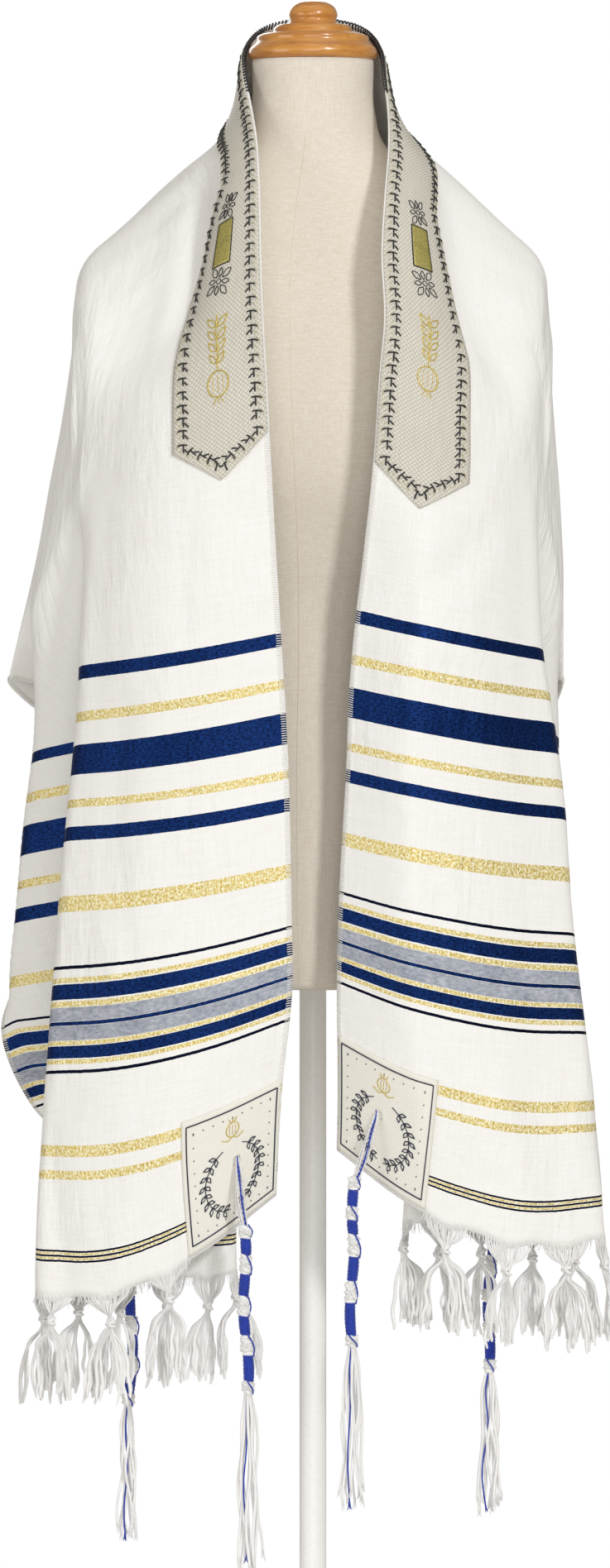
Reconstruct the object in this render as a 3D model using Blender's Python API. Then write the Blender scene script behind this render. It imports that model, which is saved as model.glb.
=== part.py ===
"""Tallit prayer shawl resting on a limbless dress form, in metres, +Z up, front towards -Y.

The shawl is one woven strip. Ribs run across it from the neck edge to the outer edge, and each
is a control line rounded at its corners: neck edge, neck curve, shoulder slope, front fold, hidden
pleat, side fold, outer edge. The tables give those lines in millimetres along the strip, and every
wall, band, patch and fringe is worked out from them.
"""

import math

import bmesh
import bpy
import numpy as np
from mathutils import Vector

MM = 0.001

# The cut of the strip, in millimetres.
HALF_LENGTH = 980.0
WIDTH = 560.0
CLOTH_WALL = 1.4
EDGE_BAND = 84.0
SEAM_GAP = 0.45
LAID_GAP = 1.8
YOKE_END = 178.0

# The neckband, the corner patches and the hole in each.
BAND_WIDTH = 74.0
BAND_WALL = 1.2
BAND_END = {-1: 404.0, 1: 434.0}
BAND_TIP = 28.0
PATCH_WIDTH = 80.0
PATCH_START = 879.0
PATCH_END = 977.0
PATCH_WALL = 1.2
HOLE_SIZE = 7.0
HOLE_ALONG = 925.0
HOLE_ACROSS = 38.0

# The stand.
POLE_RADIUS = 10.0
FORM_BOTTOM = 548.0
NECK_TOP = 1243.0
CAP_BOTTOM = 1243.4
FORM_SIDES = 26
BASE_SIDES = 28
POLE_SIDES = 20
CAP_SIDES = 22
FORM_SQUARENESS = 2.15
FORM_CLEARANCE = 2.6

# Dress form sections: height, half width, depth to the front, depth to the back.
FORM_SECTIONS = (
    (FORM_BOTTOM, 144.0, 80.0, 90.0),
    (558.0, 148.0, 83.0, 94.0),
    (600.0, 150.0, 85.0, 97.0),
    (650.0, 150.0, 86.0, 98.0),
    (720.0, 140.0, 84.0, 94.0),
    (780.0, 122.0, 80.0, 84.0),
    (834.0, 112.0, 78.0, 74.0),
    (880.0, 119.0, 86.0, 77.0),
    (930.0, 134.0, 98.0, 83.0),
    (980.0, 148.0, 98.0, 88.0),
    (1030.0, 157.0, 87.0, 88.0),
    (1065.0, 157.0, 77.0, 84.0),
    (1088.0, 150.0, 70.0, 80.0),
    (1112.0, 130.0, 64.0, 75.0),
    (1140.0, 101.0, 57.0, 69.0),
    (1160.0, 74.0, 52.0, 62.0),
    (1180.0, 54.0, 48.0, 54.0),
    (1205.0, 46.5, 46.5, 48.0),
    (NECK_TOP, 45.5, 45.5, 46.0),
)

# Stand base with the hub that the pole stands in: radius, height.
BASE_PROFILE = (
    (148.0, 0.0),
    (150.0, 2.0),
    (150.0, 10.0),
    (146.0, 13.0),
    (60.0, 15.0),
    (24.0, 16.0),
    (20.0, 24.0),
    (17.0, 26.0),
)

# Turned neck cap: radius, height.
CAP_PROFILE = (
    (45.0, CAP_BOTTOM),
    (47.2, 1244.6),
    (48.4, 1248.0),
    (47.4, 1252.0),
    (44.0, 1255.4),
    (42.2, 1257.2),
    (41.8, 1261.0),
    (39.0, 1262.6),
    (30.0, 1264.4),
    (29.0, 1267.6),
    (26.5, 1269.6),
    (19.6, 1270.6),
    (17.6, 1273.0),
    (18.4, 1277.6),
    (16.6, 1282.6),
    (11.6, 1286.4),
    (5.0, 1288.0),
)

# Lines along the half of the strip over one shoulder: distance from the collar's centre, x away
# from the form's middle, y, z. The first rows are shared by both halves.
NECK_EDGE_COLLAR = (
    (0.0, 0.0, 57.0, 1280.0),
    (45.0, 37.0, 37.5, 1270.0),
    (84.0, 51.0, 3.0, 1250.0),
)
NECK_EDGE = {
    -1: NECK_EDGE_COLLAR
    + (
        (112.0, 50.5, -19.0, 1231.0),
        (142.0, 46.0, -41.0, 1207.0),
        (184.0, 41.5, -72.0, 1178.0),
        (218.0, 39.8, -95.0, 1150.0),
        (307.0, 37.4, -125.0, 1063.0),
        (379.0, 33.4, -133.0, 987.0),
        (486.0, 27.6, -134.0, 877.0),
        (548.0, 23.8, -134.0, 813.0),
        (619.0, 19.4, -134.0, 742.0),
        (765.0, 15.6, -133.0, 596.0),
        (805.0, 15.0, -131.0, 556.5),
        (887.0, 22.6, -120.0, 476.0),
        (980.0, 26.7, -98.0, 396.0),
    ),
    1: NECK_EDGE_COLLAR
    + (
        (112.0, 53.0, -17.0, 1231.0),
        (152.0, 56.0, -42.0, 1198.0),
        (179.0, 56.0, -62.0, 1174.0),
        (216.0, 53.4, -88.0, 1142.0),
        (270.0, 50.6, -112.0, 1093.0),
        (327.0, 52.4, -127.0, 1041.0),
        (362.0, 49.4, -131.0, 1008.0),
        (437.0, 44.4, -133.0, 936.5),
        (502.0, 37.8, -134.0, 874.5),
        (549.0, 32.4, -134.0, 829.0),
        (606.0, 27.4, -134.0, 774.0),
        (667.0, 25.2, -134.0, 715.0),
        (769.0, 19.2, -133.0, 617.0),
        (849.0, 16.6, -129.0, 540.0),
        (980.0, 14.4, -104.0, 427.0),
    ),
}
NECK_CURVE_COLLAR = (
    (0.0, 0.0, 60.0, 1206.0),
    (45.0, 45.0, 42.0, 1201.0),
    (84.0, 59.0, 8.0, 1194.0),
)
NECK_CURVE = {
    -1: NECK_CURVE_COLLAR
    + (
        (112.0, 62.0, -16.0, 1187.0),
        (142.0, 63.0, -42.0, 1178.0),
        (184.0, 66.0, -66.0, 1158.0),
        (218.0, 69.0, -84.0, 1134.0),
        (307.0, 76.0, -110.0, 1054.0),
        (379.0, 84.0, -126.0, 975.0),
    ),
    1: NECK_CURVE_COLLAR
    + (
        (112.0, 66.0, -16.0, 1188.0),
        (142.0, 72.0, -38.0, 1178.0),
        (184.0, 82.0, -60.0, 1156.0),
        (218.0, 85.0, -78.0, 1128.0),
        (307.0, 92.0, -108.0, 1050.0),
        (379.0, 94.0, -126.0, 978.0),
    ),
}
SHOULDER_SLOPE_BACK = (
    (0.0, 0.0, 78.0, 1140.0),
    (45.0, 62.0, 74.0, 1139.0),
    (84.0, 98.0, 42.0, 1149.0),
    (112.0, 110.0, 12.0, 1152.0),
)
SHOULDER_SLOPE = {
    -1: SHOULDER_SLOPE_BACK
    + (
        (142.0, 100.0, -16.0, 1150.0),
        (184.0, 81.0, -42.0, 1134.0),
        (218.0, 80.0, -56.0, 1112.0),
        (307.0, 96.0, -84.0, 1038.0),
        (379.0, 130.0, -110.0, 957.0),
    ),
    1: SHOULDER_SLOPE_BACK
    + (
        (142.0, 108.0, -14.0, 1149.0),
        (184.0, 98.0, -38.0, 1130.0),
        (218.0, 100.0, -50.0, 1106.0),
        (307.0, 116.0, -80.0, 1030.0),
        (379.0, 136.0, -108.0, 957.0),
    ),
}
SHOULDER_TURN = (
    (0.0, 0.0, 93.0, 1090.0),
    (45.0, 64.0, 91.0, 1091.0),
    (84.0, 122.0, 68.0, 1097.0),
    (112.0, 156.0, 40.0, 1099.0),
    (142.0, 172.0, 8.0, 1095.0),
    (184.0, 173.0, -24.0, 1078.0),
    (218.0, 171.0, -44.0, 1056.0),
    (307.0, 166.0, -66.0, 1000.0),
)
FRONT_FOLD = {
    -1: SHOULDER_TURN
    + (
        (379.0, 163.0, -73.0, 946.0),
        (420.0, 162.0, -76.0, 917.0),
        (486.0, 166.0, -80.0, 852.0),
        (548.0, 171.5, -82.0, 789.0),
        (607.0, 177.0, -83.0, 730.0),
        (670.0, 183.6, -84.0, 669.0),
        (719.0, 188.6, -86.0, 617.0),
        (765.0, 193.0, -88.0, 564.5),
        (834.0, 199.0, -90.0, 487.5),
        (883.0, 202.8, -92.0, 433.0),
        (952.0, 206.8, -94.0, 355.0),
        (980.0, 207.0, -94.0, 323.0),
    ),
    1: SHOULDER_TURN
    + (
        (379.0, 164.0, -74.0, 948.0),
        (420.0, 164.0, -76.0, 922.0),
        (486.0, 167.0, -80.0, 862.0),
        (548.0, 170.5, -82.0, 802.0),
        (607.0, 179.0, -83.0, 747.0),
        (670.0, 187.0, -84.0, 684.0),
        (719.0, 190.0, -86.0, 639.0),
        (765.0, 193.6, -88.0, 590.0),
        (834.0, 202.2, -90.0, 517.0),
        (883.0, 208.4, -92.0, 466.0),
        (952.0, 216.0, -94.0, 395.0),
        (980.0, 217.2, -94.0, 365.0),
    ),
}
BACK_FOLD = (
    (0.0, 0.0, 105.0, 905.0),
    (45.0, 58.0, 106.0, 905.0),
    (84.0, 112.0, 98.0, 908.0),
    (112.0, 147.0, 80.0, 914.0),
    (142.0, 174.0, 48.0, 926.0),
)
SIDE_FOLD = {
    -1: BACK_FOLD
    + (
        (184.0, 190.0, 12.0, 940.0),
        (218.0, 196.0, -4.0, 926.0),
        (307.0, 206.0, -18.0, 868.0),
        (379.0, 215.0, -20.0, 820.0),
        (420.0, 218.0, -19.0, 796.0),
        (486.0, 218.0, -17.0, 760.0),
        (548.0, 219.0, -14.0, 724.0),
        (607.0, 224.0, -11.0, 669.0),
        (670.0, 226.0, -9.0, 607.0),
        (719.0, 228.0, -9.0, 556.0),
        (765.0, 222.0, -13.0, 524.0),
        (834.0, 198.0, -22.0, 463.0),
        (883.0, 171.0, -30.0, 436.0),
        (980.0, 126.0, -42.0, 364.0),
    ),
    1: BACK_FOLD
    + (
        (184.0, 182.0, 12.0, 940.0),
        (218.0, 184.0, -4.0, 926.0),
        (307.0, 187.0, -18.0, 872.0),
        (379.0, 189.0, -20.0, 826.0),
        (420.0, 190.0, -19.0, 803.0),
        (486.0, 190.5, -17.0, 770.0),
        (548.0, 191.0, -14.0, 736.0),
        (607.0, 190.0, -11.0, 684.0),
        (670.0, 188.0, -9.0, 628.0),
        (719.0, 186.0, -9.0, 585.0),
        (765.0, 182.0, -13.0, 546.0),
        (834.0, 168.0, -22.0, 490.0),
        (883.0, 157.0, -28.0, 468.0),
        (980.0, 128.0, -42.0, 396.0),
    ),
}
BACK_HEM = (
    (0.0, 0.0, 112.0, 737.0),
    (45.0, 46.0, 115.0, 733.0),
    (84.0, 84.0, 113.0, 735.0),
    (112.0, 112.0, 109.0, 738.0),
    (142.0, 140.0, 102.0, 741.0),
)
OUTER_EDGE = {
    -1: BACK_HEM
    + (
        (184.0, 176.0, 86.0, 746.0),
        (218.0, 200.0, 68.0, 753.0),
        (262.0, 219.0, 46.0, 766.0),
        (307.0, 228.0, 27.0, 779.0),
        (345.0, 206.0, 42.0, 776.0),
        (379.0, 170.0, 62.0, 768.0),
        (420.0, 148.0, 70.0, 752.0),
        (486.0, 144.0, 68.0, 728.0),
        (548.0, 153.0, 60.0, 703.0),
        (607.0, 172.0, 46.0, 655.0),
        (670.0, 202.0, 28.0, 596.0),
        (719.0, 222.0, 12.0, 550.0),
        (765.0, 233.0, -4.0, 518.0),
        (834.0, 209.0, -12.0, 459.0),
        (883.0, 182.0, -20.0, 434.0),
        (980.0, 136.0, -34.0, 362.0),
    ),
    1: BACK_HEM
    + (
        (184.0, 164.0, 84.0, 746.0),
        (218.0, 177.0, 66.0, 753.0),
        (262.0, 185.0, 46.0, 766.0),
        (307.0, 187.0, 30.0, 779.0),
        (345.0, 174.0, 42.0, 776.0),
        (379.0, 154.0, 60.0, 768.0),
        (420.0, 142.0, 70.0, 752.0),
        (486.0, 138.0, 68.0, 730.0),
        (548.0, 142.0, 60.0, 708.0),
        (607.0, 149.0, 50.0, 662.0),
        (670.0, 158.0, 38.0, 608.0),
        (719.0, 165.0, 26.0, 566.0),
        (765.0, 169.0, 14.0, 530.0),
        (834.0, 171.0, 2.0, 488.0),
        (883.0, 164.0, -10.0, 468.0),
        (980.0, 139.0, -30.0, 394.0),
    ),
}
# Hidden pleat behind each front fold: distance along, how far it is pleated (0 to 1), depth of the
# pleat, gap between its layers, and how far the front panel sags and swells between its edges.
PLEAT = {
    -1: (
        (307.0, 0.0, 20.0, 8.0, 0.0, 8.0),
        (379.0, 0.0, 30.0, 9.0, 0.0, 20.0),
        (420.0, 0.3, 50.0, 11.0, 0.0, 21.0),
        (486.0, 0.8, 88.0, 14.0, 1.0, 21.0),
        (548.0, 1.0, 112.0, 15.0, 2.0, 20.0),
        (607.0, 1.0, 122.0, 15.0, 3.0, 19.0),
        (765.0, 1.0, 138.0, 16.0, 6.0, 18.0),
        (834.0, 1.0, 146.0, 17.0, 10.0, 18.0),
        (980.0, 1.0, 150.0, 20.0, 24.0, 16.0),
    ),
    1: (
        (307.0, 0.0, 20.0, 8.0, 0.0, 8.0),
        (379.0, 0.0, 30.0, 9.0, 0.0, 19.0),
        (420.0, 0.3, 46.0, 11.0, 0.0, 20.0),
        (486.0, 0.8, 80.0, 14.0, 1.0, 20.0),
        (548.0, 1.0, 100.0, 15.0, 2.0, 19.0),
        (607.0, 1.0, 112.0, 15.0, 3.0, 18.0),
        (765.0, 1.0, 130.0, 16.0, 6.0, 17.0),
        (834.0, 1.0, 138.0, 17.0, 10.0, 17.0),
        (980.0, 1.0, 150.0, 20.0, 26.0, 15.0),
    ),
}

# Folds of the back: how many waves, how deep at the hem, and how far round they run.
BACK_WAVES = 5
BACK_WAVE_DEPTH = 9.0
BACK_WAVE_END = 240.0

# Grid steps of each stretch: along the strip, then across between one fold line and the next.
STEPS_BACK = 22
STEPS_FRONT = 26
STEPS_ACROSS = (7, 4, 4, 3)
FRONT_END = 2.5
CURVE_STEPS = 6

# Bundles of strands: how round their outline is, and how far each strand narrows at its top and tip.
BUNDLE_ROUNDING = 0.9
STRAND_NECK = 0.72
STRAND_TIP = 0.6

# Knotted fringe: its strip beside the hem, then places of the locks across, and one lock's sizes.
FRINGE_STRIP = 5.0
FRINGE_WALL = 1.8
FRINGE_CELL = 11.0
FRINGE_REACH = 8.0
FRINGE_START = 84.0
FRINGE_END = 476.0
FRINGE_LOCKS = (98.0, 146.0, 190.0, 232.0, 276.0, 318.0, 372.0, 416.0, 458.0)
LOCK_CELL = 8.0
KNOT_DROP = 22.0
KNOT_RADIUS = 4.4
LOCK_LENGTH = 70.0
LOCK_TAILS = 2
TAIL_SIZE = 2.2

# Tassels tied through the corner holes: cord and knot radii, and how many windings each has.
TASSEL_RADIUS = 3.4
TASSEL_KNOT_RADIUS = 5.0
TASSEL_WINDINGS = 4
TASSEL_STRANDS = (3, 2)
TASSEL_FOOT = 6.0
STRAND_SIZE = 1.7
# Rows: half of the strip, edge of the strip (0 neck, 1 outer), shift in x at the first winding
# and at the last knot, drop to the first winding, to the last knot and to the tips, spread.
TASSELS = {
    "left_front": (-1, 0, 4.0, 5.0, 56.0, 168.0, 306.0, 9.0),
    "left_rear": (-1, 1, -2.0, -4.0, 56.0, 164.0, 262.0, 8.0),
    "right_front": (1, 0, -14.0, -16.0, 54.0, 166.0, 288.0, 10.0),
    "right_rear": (1, 1, 2.0, -2.0, 56.0, 176.0, 280.0, 10.0),
}


def smooth_rows(rows, at):
    """Reads a table at one distance along, with a smooth curve through its rows."""
    table = np.array(rows, float)
    keys = table[:, 0]
    at = min(max(at, keys[0]), keys[-1])
    slopes = np.gradient(table[:, 1:], keys, axis=0)
    k = min(int(np.searchsorted(keys, at, side="right")) - 1, len(keys) - 2)
    span = keys[k + 1] - keys[k]
    t = (at - keys[k]) / span
    start = (2 * t**3 - 3 * t**2 + 1) * table[k, 1:] + (t**3 - 2 * t**2 + t) * span * slopes[k]
    end = (3 * t**2 - 2 * t**3) * table[k + 1, 1:] + (t**3 - t**2) * span * slopes[k + 1]
    return start + end


def form_section(height, grow=0.0):
    """Half width and the two depths of the dress form at one height."""
    table = np.array(FORM_SECTIONS)
    return [np.interp(height, table[:, 0], table[:, k]) + grow for k in (1, 2, 3)]


def clear_of_form(point):
    """Moves a point out level until it stands off the dress form."""
    x, y, z = point
    if not FORM_BOTTOM - 12.0 < z < NECK_TOP:
        return point
    half, front, back = form_section(z, FORM_CLEARANCE + CLOTH_WALL / 2)
    depth = front if y < 0 else back
    inside = (abs(x) / half) ** FORM_SQUARENESS + (abs(y) / depth) ** FORM_SQUARENESS
    if inside >= 1.0:
        return point
    out = inside ** (-1.0 / FORM_SQUARENESS)
    return np.array([x * out, y * out, z])


def bent(start, corner, end, cut_in, cut_out):
    """Points of one rounded corner of a control line."""
    into = corner - start
    out = end - corner
    first = corner - into * cut_in
    last = corner + out * cut_out
    steps = np.linspace(0.0, 1.0, CURVE_STEPS + 1)[:, None]
    return (1 - steps) ** 2 * first + 2 * steps * (1 - steps) * corner + steps**2 * last


def rib_points(along):
    """One rib as a dense line, and where each fold line crosses it as a distance across."""
    side = -1 if along < 0 else 1
    u = abs(along)
    edge = smooth_rows(NECK_EDGE[side], u)
    fold = smooth_rows(FRONT_FOLD[side], u)
    turn = smooth_rows(SIDE_FOLD[side], u)
    outer = smooth_rows(OUTER_EDGE[side], u)
    pleated, depth, gap, sag, swell = smooth_rows(PLEAT[side], u)
    pleated = min(max(pleated, 0.0), 1.0)
    blend = min(max((u - 307.0) / 72.0, 0.0), 1.0)
    lift = np.array([0.0, -swell, -sag])
    first = edge + (fold - edge) * 0.34 + lift * 0.9
    second = edge + (fold - edge) * 0.7 + lift
    if u < 379.0:
        near = smooth_rows(NECK_CURVE[side], u)
        far = smooth_rows(SHOULDER_SLOPE[side], u)
        first = near + (first - near) * blend
        second = far + (second - far) * blend
    drop = (fold[2] - turn[2]) * 0.36
    part = depth / max(fold[0] - edge[0], 1.0)
    behind = (edge[1] - fold[1]) * part - 3.4 * swell * part * (1 - part)
    flat = [fold + (turn - fold) * share for share in (0.0, 0.2, 0.5, 0.7)]
    folded = [
        fold,
        fold + np.array([0.0, gap, -drop * 0.2]),
        fold + np.array([-depth, behind + gap, -drop]),
        fold + np.array([-depth, behind + 2 * gap, -drop * 1.3]),
    ]
    layers = [a + (b - a) * pleated for a, b in zip(flat, folded)]
    rear = (turn + outer) / 2
    line = [edge, first, second, *layers, turn, rear, outer]
    reach = [0, 80, 80] + [34 - 26 * pleated] * 4 + [30, 60, 0]
    points = [line[0]]
    marks = {}
    for k in range(1, len(line) - 1):
        before = np.linalg.norm(line[k] - line[k - 1])
        after = np.linalg.norm(line[k + 1] - line[k])
        cut = min(reach[k], before * 0.5, after * 0.5)
        marks[k] = len(points) + CURVE_STEPS // 2
        points.extend(bent(line[k - 1], line[k], line[k + 1], cut / before, cut / after))
    points.append(line[-1])
    points = np.array(points)
    lengths = np.r_[0.0, np.cumsum(np.linalg.norm(np.diff(points, axis=0), axis=1))]
    folds = (
        0.0,
        (lengths[marks[3]] + lengths[marks[4]]) / 2,
        (lengths[marks[5]] + lengths[marks[6]]) / 2,
        lengths[marks[7]],
        lengths[-1],
    )
    points[:, 0] *= side
    return points, lengths, folds


def back_wave(along, level):
    """How far the folds of the back stand out, at a level from the shoulder (0) to the hem (1)."""
    fade = math.cos(min(abs(along) / BACK_WAVE_END, 1.0) * math.pi / 2) ** 0.6
    turns = along / BACK_WAVE_END * BACK_WAVES / 2 + 0.13 * math.sin(along / 61.0)
    return BACK_WAVE_DEPTH * level**1.3 * fade * math.cos(2 * math.pi * turns)


def cloth_rib(along, levels):
    """Points of one rib at fold levels: 0 neck edge, 1 front fold, 2 pleat, 3 side fold, 4 edge."""
    points, lengths, folds = rib_points(along)
    reach = np.interp(levels, range(5), folds)
    line = np.stack([np.interp(reach, lengths, points[:, k]) for k in range(3)], axis=1)
    for k, level in enumerate(levels):
        line[k, 1] += back_wave(along, max(level - 1.0, 0.0) / 3.0)
        line[k] = clear_of_form(line[k])
    return line


def level_at(along, across):
    """The fold level at a distance across the strip, true to size in front and near both edges."""
    _, _, folds = rib_points(along)
    whole = folds[4]
    places = (0.0, folds[1], WIDTH - EDGE_BAND, WIDTH)
    reach = np.interp(across, places, (0.0, folds[1], whole - EDGE_BAND, whole))
    return float(np.interp(reach, folds, range(5)))


def outward(grid):
    """Unit normals of a grid of points, facing away from the form."""
    across = np.gradient(grid, axis=1)
    along = np.gradient(grid, axis=0)
    normals = np.cross(along, across)
    return normals / np.linalg.norm(normals, axis=2, keepdims=True)


def pulled_in(grid, sides):
    """Moves a grid's edge rows in by half a seam's gap. Sides are named as in a table of rows."""
    half = SEAM_GAP / 2
    grid = grid.copy()
    for name in sides:
        view = {"first": grid, "last": grid[::-1], "near": grid.transpose(1, 0, 2)}
        view["far"] = grid.transpose(1, 0, 2)[::-1]
        rows = view[name]
        step = rows[1] - rows[0]
        rows[0] += step / np.linalg.norm(step, axis=1, keepdims=True) * half
    return grid


def wall(name, grid, inner, outer, material, holes=(), normals=None):
    """A closed wall between two offsets of a grid, in millimetres, with some cells left open."""
    normals = outward(grid) if normals is None else normals
    rows, columns = grid.shape[:2]
    mesh = bmesh.new()
    faces = []
    for offset in (inner, outer):
        layer = grid + normals * offset
        faces.append([[mesh.verts.new(Vector(p) * MM) for p in row] for row in layer])
    for i in range(rows - 1):
        for j in range(columns - 1):
            if (i, j) in holes:
                continue
            low, high = faces
            mesh.faces.new((low[i][j], low[i][j + 1], low[i + 1][j + 1], low[i + 1][j]))
            mesh.faces.new((high[i][j], high[i + 1][j], high[i + 1][j + 1], high[i][j + 1]))
    open_edges = [edge for edge in mesh.edges if edge.is_boundary]
    lower = {vert for row in faces[0] for vert in row}
    mates = {a: b for low, high in zip(*faces) for a, b in zip(low, high)}
    for edge in open_edges:
        a, b = edge.verts
        if a in lower and b in lower:
            mesh.faces.new((a, b, mates[b], mates[a]))
    bmesh.ops.recalc_face_normals(mesh, faces=mesh.faces)
    return finish(name, mesh, material)


def finish(name, mesh, material, smooth=True):
    """Turns a bmesh into a named object with one material."""
    data = bpy.data.meshes.new(name)
    mesh.to_mesh(data)
    mesh.free()
    if smooth:
        data.shade_smooth()
        data.set_sharp_from_angle(angle=math.radians(50))
    data.materials.append(material)
    made = bpy.data.objects.new(name, data)
    bpy.context.scene.collection.objects.link(made)
    return made


def finish_material(name, colour, roughness, metallic=0.0):
    """A Principled material with an sRGB hex colour."""
    values = [int(colour[k : k + 2], 16) / 255 for k in (0, 2, 4)]
    linear = [v / 12.92 if v <= 0.04045 else ((v + 0.055) / 1.055) ** 2.4 for v in values]
    material = bpy.data.materials.new(name)
    material.use_nodes = True
    shader = material.node_tree.nodes["Principled BSDF"]
    shader.inputs["Base Color"].default_value = (*linear, 1.0)
    shader.inputs["Roughness"].default_value = roughness
    shader.inputs["Metallic"].default_value = metallic
    return material


def turned(name, profile, sides, material):
    """A solid turned round the upright axis from rows of radius and height."""
    mesh = bmesh.new()
    rings = []
    for radius, height in profile:
        angles = [2 * math.pi * k / sides for k in range(sides)]
        ring = [(radius * math.cos(a), radius * math.sin(a), height) for a in angles]
        rings.append([mesh.verts.new(Vector(p) * MM) for p in ring])
    close_rings(mesh, rings)
    return finish(name, mesh, material)


def close_rings(mesh, rings):
    """Joins rings of points into a closed tube with flat ends."""
    for low, high in zip(rings, rings[1:]):
        for k in range(len(low)):
            n = (k + 1) % len(low)
            mesh.faces.new((low[k], low[n], high[n], high[k]))
    mesh.faces.new(rings[0][::-1])
    mesh.faces.new(rings[-1])
    bmesh.ops.recalc_face_normals(mesh, faces=mesh.faces)


def dress_form(material):
    """The limbless torso, as rings worked out from its sections."""
    mesh = bmesh.new()
    rings = []
    for height, half, front, back in FORM_SECTIONS:
        ring = []
        for k in range(FORM_SIDES):
            angle = 2 * math.pi * k / FORM_SIDES
            c, s = math.cos(angle), math.sin(angle)
            depth = back if s > 0 else front
            power = 2.0 / FORM_SQUARENESS
            x = math.copysign(abs(c) ** power, c) * half
            y = math.copysign(abs(s) ** power, s) * depth
            ring.append(mesh.verts.new(Vector((x, y, height)) * MM))
        rings.append(ring)
    close_rings(mesh, rings)
    return finish("dress_form_torso", mesh, material)


def stations(start, end, steps, extra=()):
    """Even steps from start to end, with the extra places put in and near ones left out."""
    even = np.linspace(start, end, steps + 1)
    keep = [e for e in even if all(abs(e - x) > abs(end - start) / steps * 0.45 for x in extra)]
    return sorted(set(keep) | set(extra) | {even[0], even[-1]})


def cloth_levels(first, last):
    """Fold levels of a stretch's grid lines, in even steps between one fold and the next."""
    levels = [float(first)]
    for k in range(first, last):
        levels.extend(k + (n + 1) / STEPS_ACROSS[k] for n in range(STEPS_ACROSS[k]))
    return levels


class Strip:
    """The strip's grid of points and normals, from hem to hem and from neck edge to outer edge."""

    def __init__(self):
        back = stations(-YOKE_END, YOKE_END, STEPS_BACK)
        front = stations(YOKE_END, HALF_LENGTH, STEPS_FRONT)
        self.alongs = [-u for u in reversed(front)] + back[1:-1] + front
        self.levels = cloth_levels(0, 4)
        self.points = np.array([cloth_rib(along, self.levels) for along in self.alongs])
        self.normals = outward(self.points)

    def stretch(self, start, end, first, last):
        """Points and normals between two distances along and two fold levels."""
        rows = [k for k, u in enumerate(self.alongs) if start - 1e-6 <= u <= end + 1e-6]
        columns = [k for k, level in enumerate(self.levels) if first - 1e-6 <= level <= last + 1e-6]
        part = np.ix_(rows, columns)
        return self.points[part], self.normals[part]

    def surface(self, along, across, lift):
        """A point and normal at distances along and across, lifted off the middle surface."""
        at = np.interp(along, self.alongs, range(len(self.alongs)))
        row = min(int(at), len(self.alongs) - 2)
        share = at - row
        ends = []
        for k in (row, row + 1):
            level = np.interp(level_at(self.alongs[k], across), self.levels, range(len(self.levels)))
            column = min(int(level), len(self.levels) - 2)
            t = level - column
            point = self.points[k, column] * (1 - t) + self.points[k, column + 1] * t
            normal = self.normals[k, column] * (1 - t) + self.normals[k, column + 1] * t
            ends.append((point, normal))
        point = ends[0][0] * (1 - share) + ends[1][0] * share
        normal = ends[0][1] * (1 - share) + ends[1][1] * share
        normal = normal / np.linalg.norm(normal)
        return point + normal * lift, normal

    def laid(self, alongs, acrosses):
        """Grid and normals for a piece laid on the strip's outer face, a row of places each."""
        lift = CLOTH_WALL / 2 + LAID_GAP
        pairs = [[self.surface(u, v, lift) for v in row] for u, row in zip(alongs, acrosses)]
        points = np.array([[point for point, _ in row] for row in pairs])
        normals = np.array([[normal for _, normal in row] for row in pairs])
        return points, normals


def shawl(strip, material):
    """The strip in five stretches: the back, and a front panel and side fall on each side."""
    half = CLOTH_WALL / 2
    pieces = (
        ("shawl_back", -YOKE_END, YOKE_END, 0, 4, ("first", "last")),
        ("shawl_left_front", -HALF_LENGTH, -YOKE_END, 0, FRONT_END, ("last", "far")),
        ("shawl_left_side", -HALF_LENGTH, -YOKE_END, FRONT_END, 4, ("last", "near")),
        ("shawl_right_front", YOKE_END, HALF_LENGTH, 0, FRONT_END, ("first", "far")),
        ("shawl_right_side", YOKE_END, HALF_LENGTH, FRONT_END, 4, ("first", "near")),
    )
    for name, start, end, first, last, seams in pieces:
        points, normals = strip.stretch(start, end, first, last)
        wall(name, pulled_in(points, seams), -half, half, material, normals=normals)


def neckband(strip, material):
    """The band round the neck in three stretches, each end cut to a point."""
    middle = BAND_WIDTH / 2
    for side, label in ((-1, "left"), (1, "right")):
        end = BAND_END[side]
        places = [u for u in stations(YOKE_END, HALF_LENGTH, STEPS_FRONT) if u < end - 8.0]
        places += [end, end + BAND_TIP * 0.5, end + BAND_TIP * 0.9]
        rows = []
        for u in places:
            cut = max(u - end, 0.0) / BAND_TIP * (middle - 2.0)
            rows.append(np.linspace(2.0 + cut, BAND_WIDTH - cut, 6))
        order = np.argsort([side * u for u in places])
        grid, normals = strip.laid([side * places[k] for k in order], [rows[k] for k in order])
        grid = pulled_in(grid, ("last" if side < 0 else "first",))
        wall(f"neckband_{label}", grid, 0.0, BAND_WALL, material, normals=normals)
    alongs = stations(-YOKE_END, YOKE_END, STEPS_BACK)
    grid, normals = strip.laid(alongs, [np.linspace(2.0, BAND_WIDTH, 6)] * len(alongs))
    grid = pulled_in(grid, ("first", "last"))
    wall("neckband_back", grid, 0.0, BAND_WALL, material, normals=normals)


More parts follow.
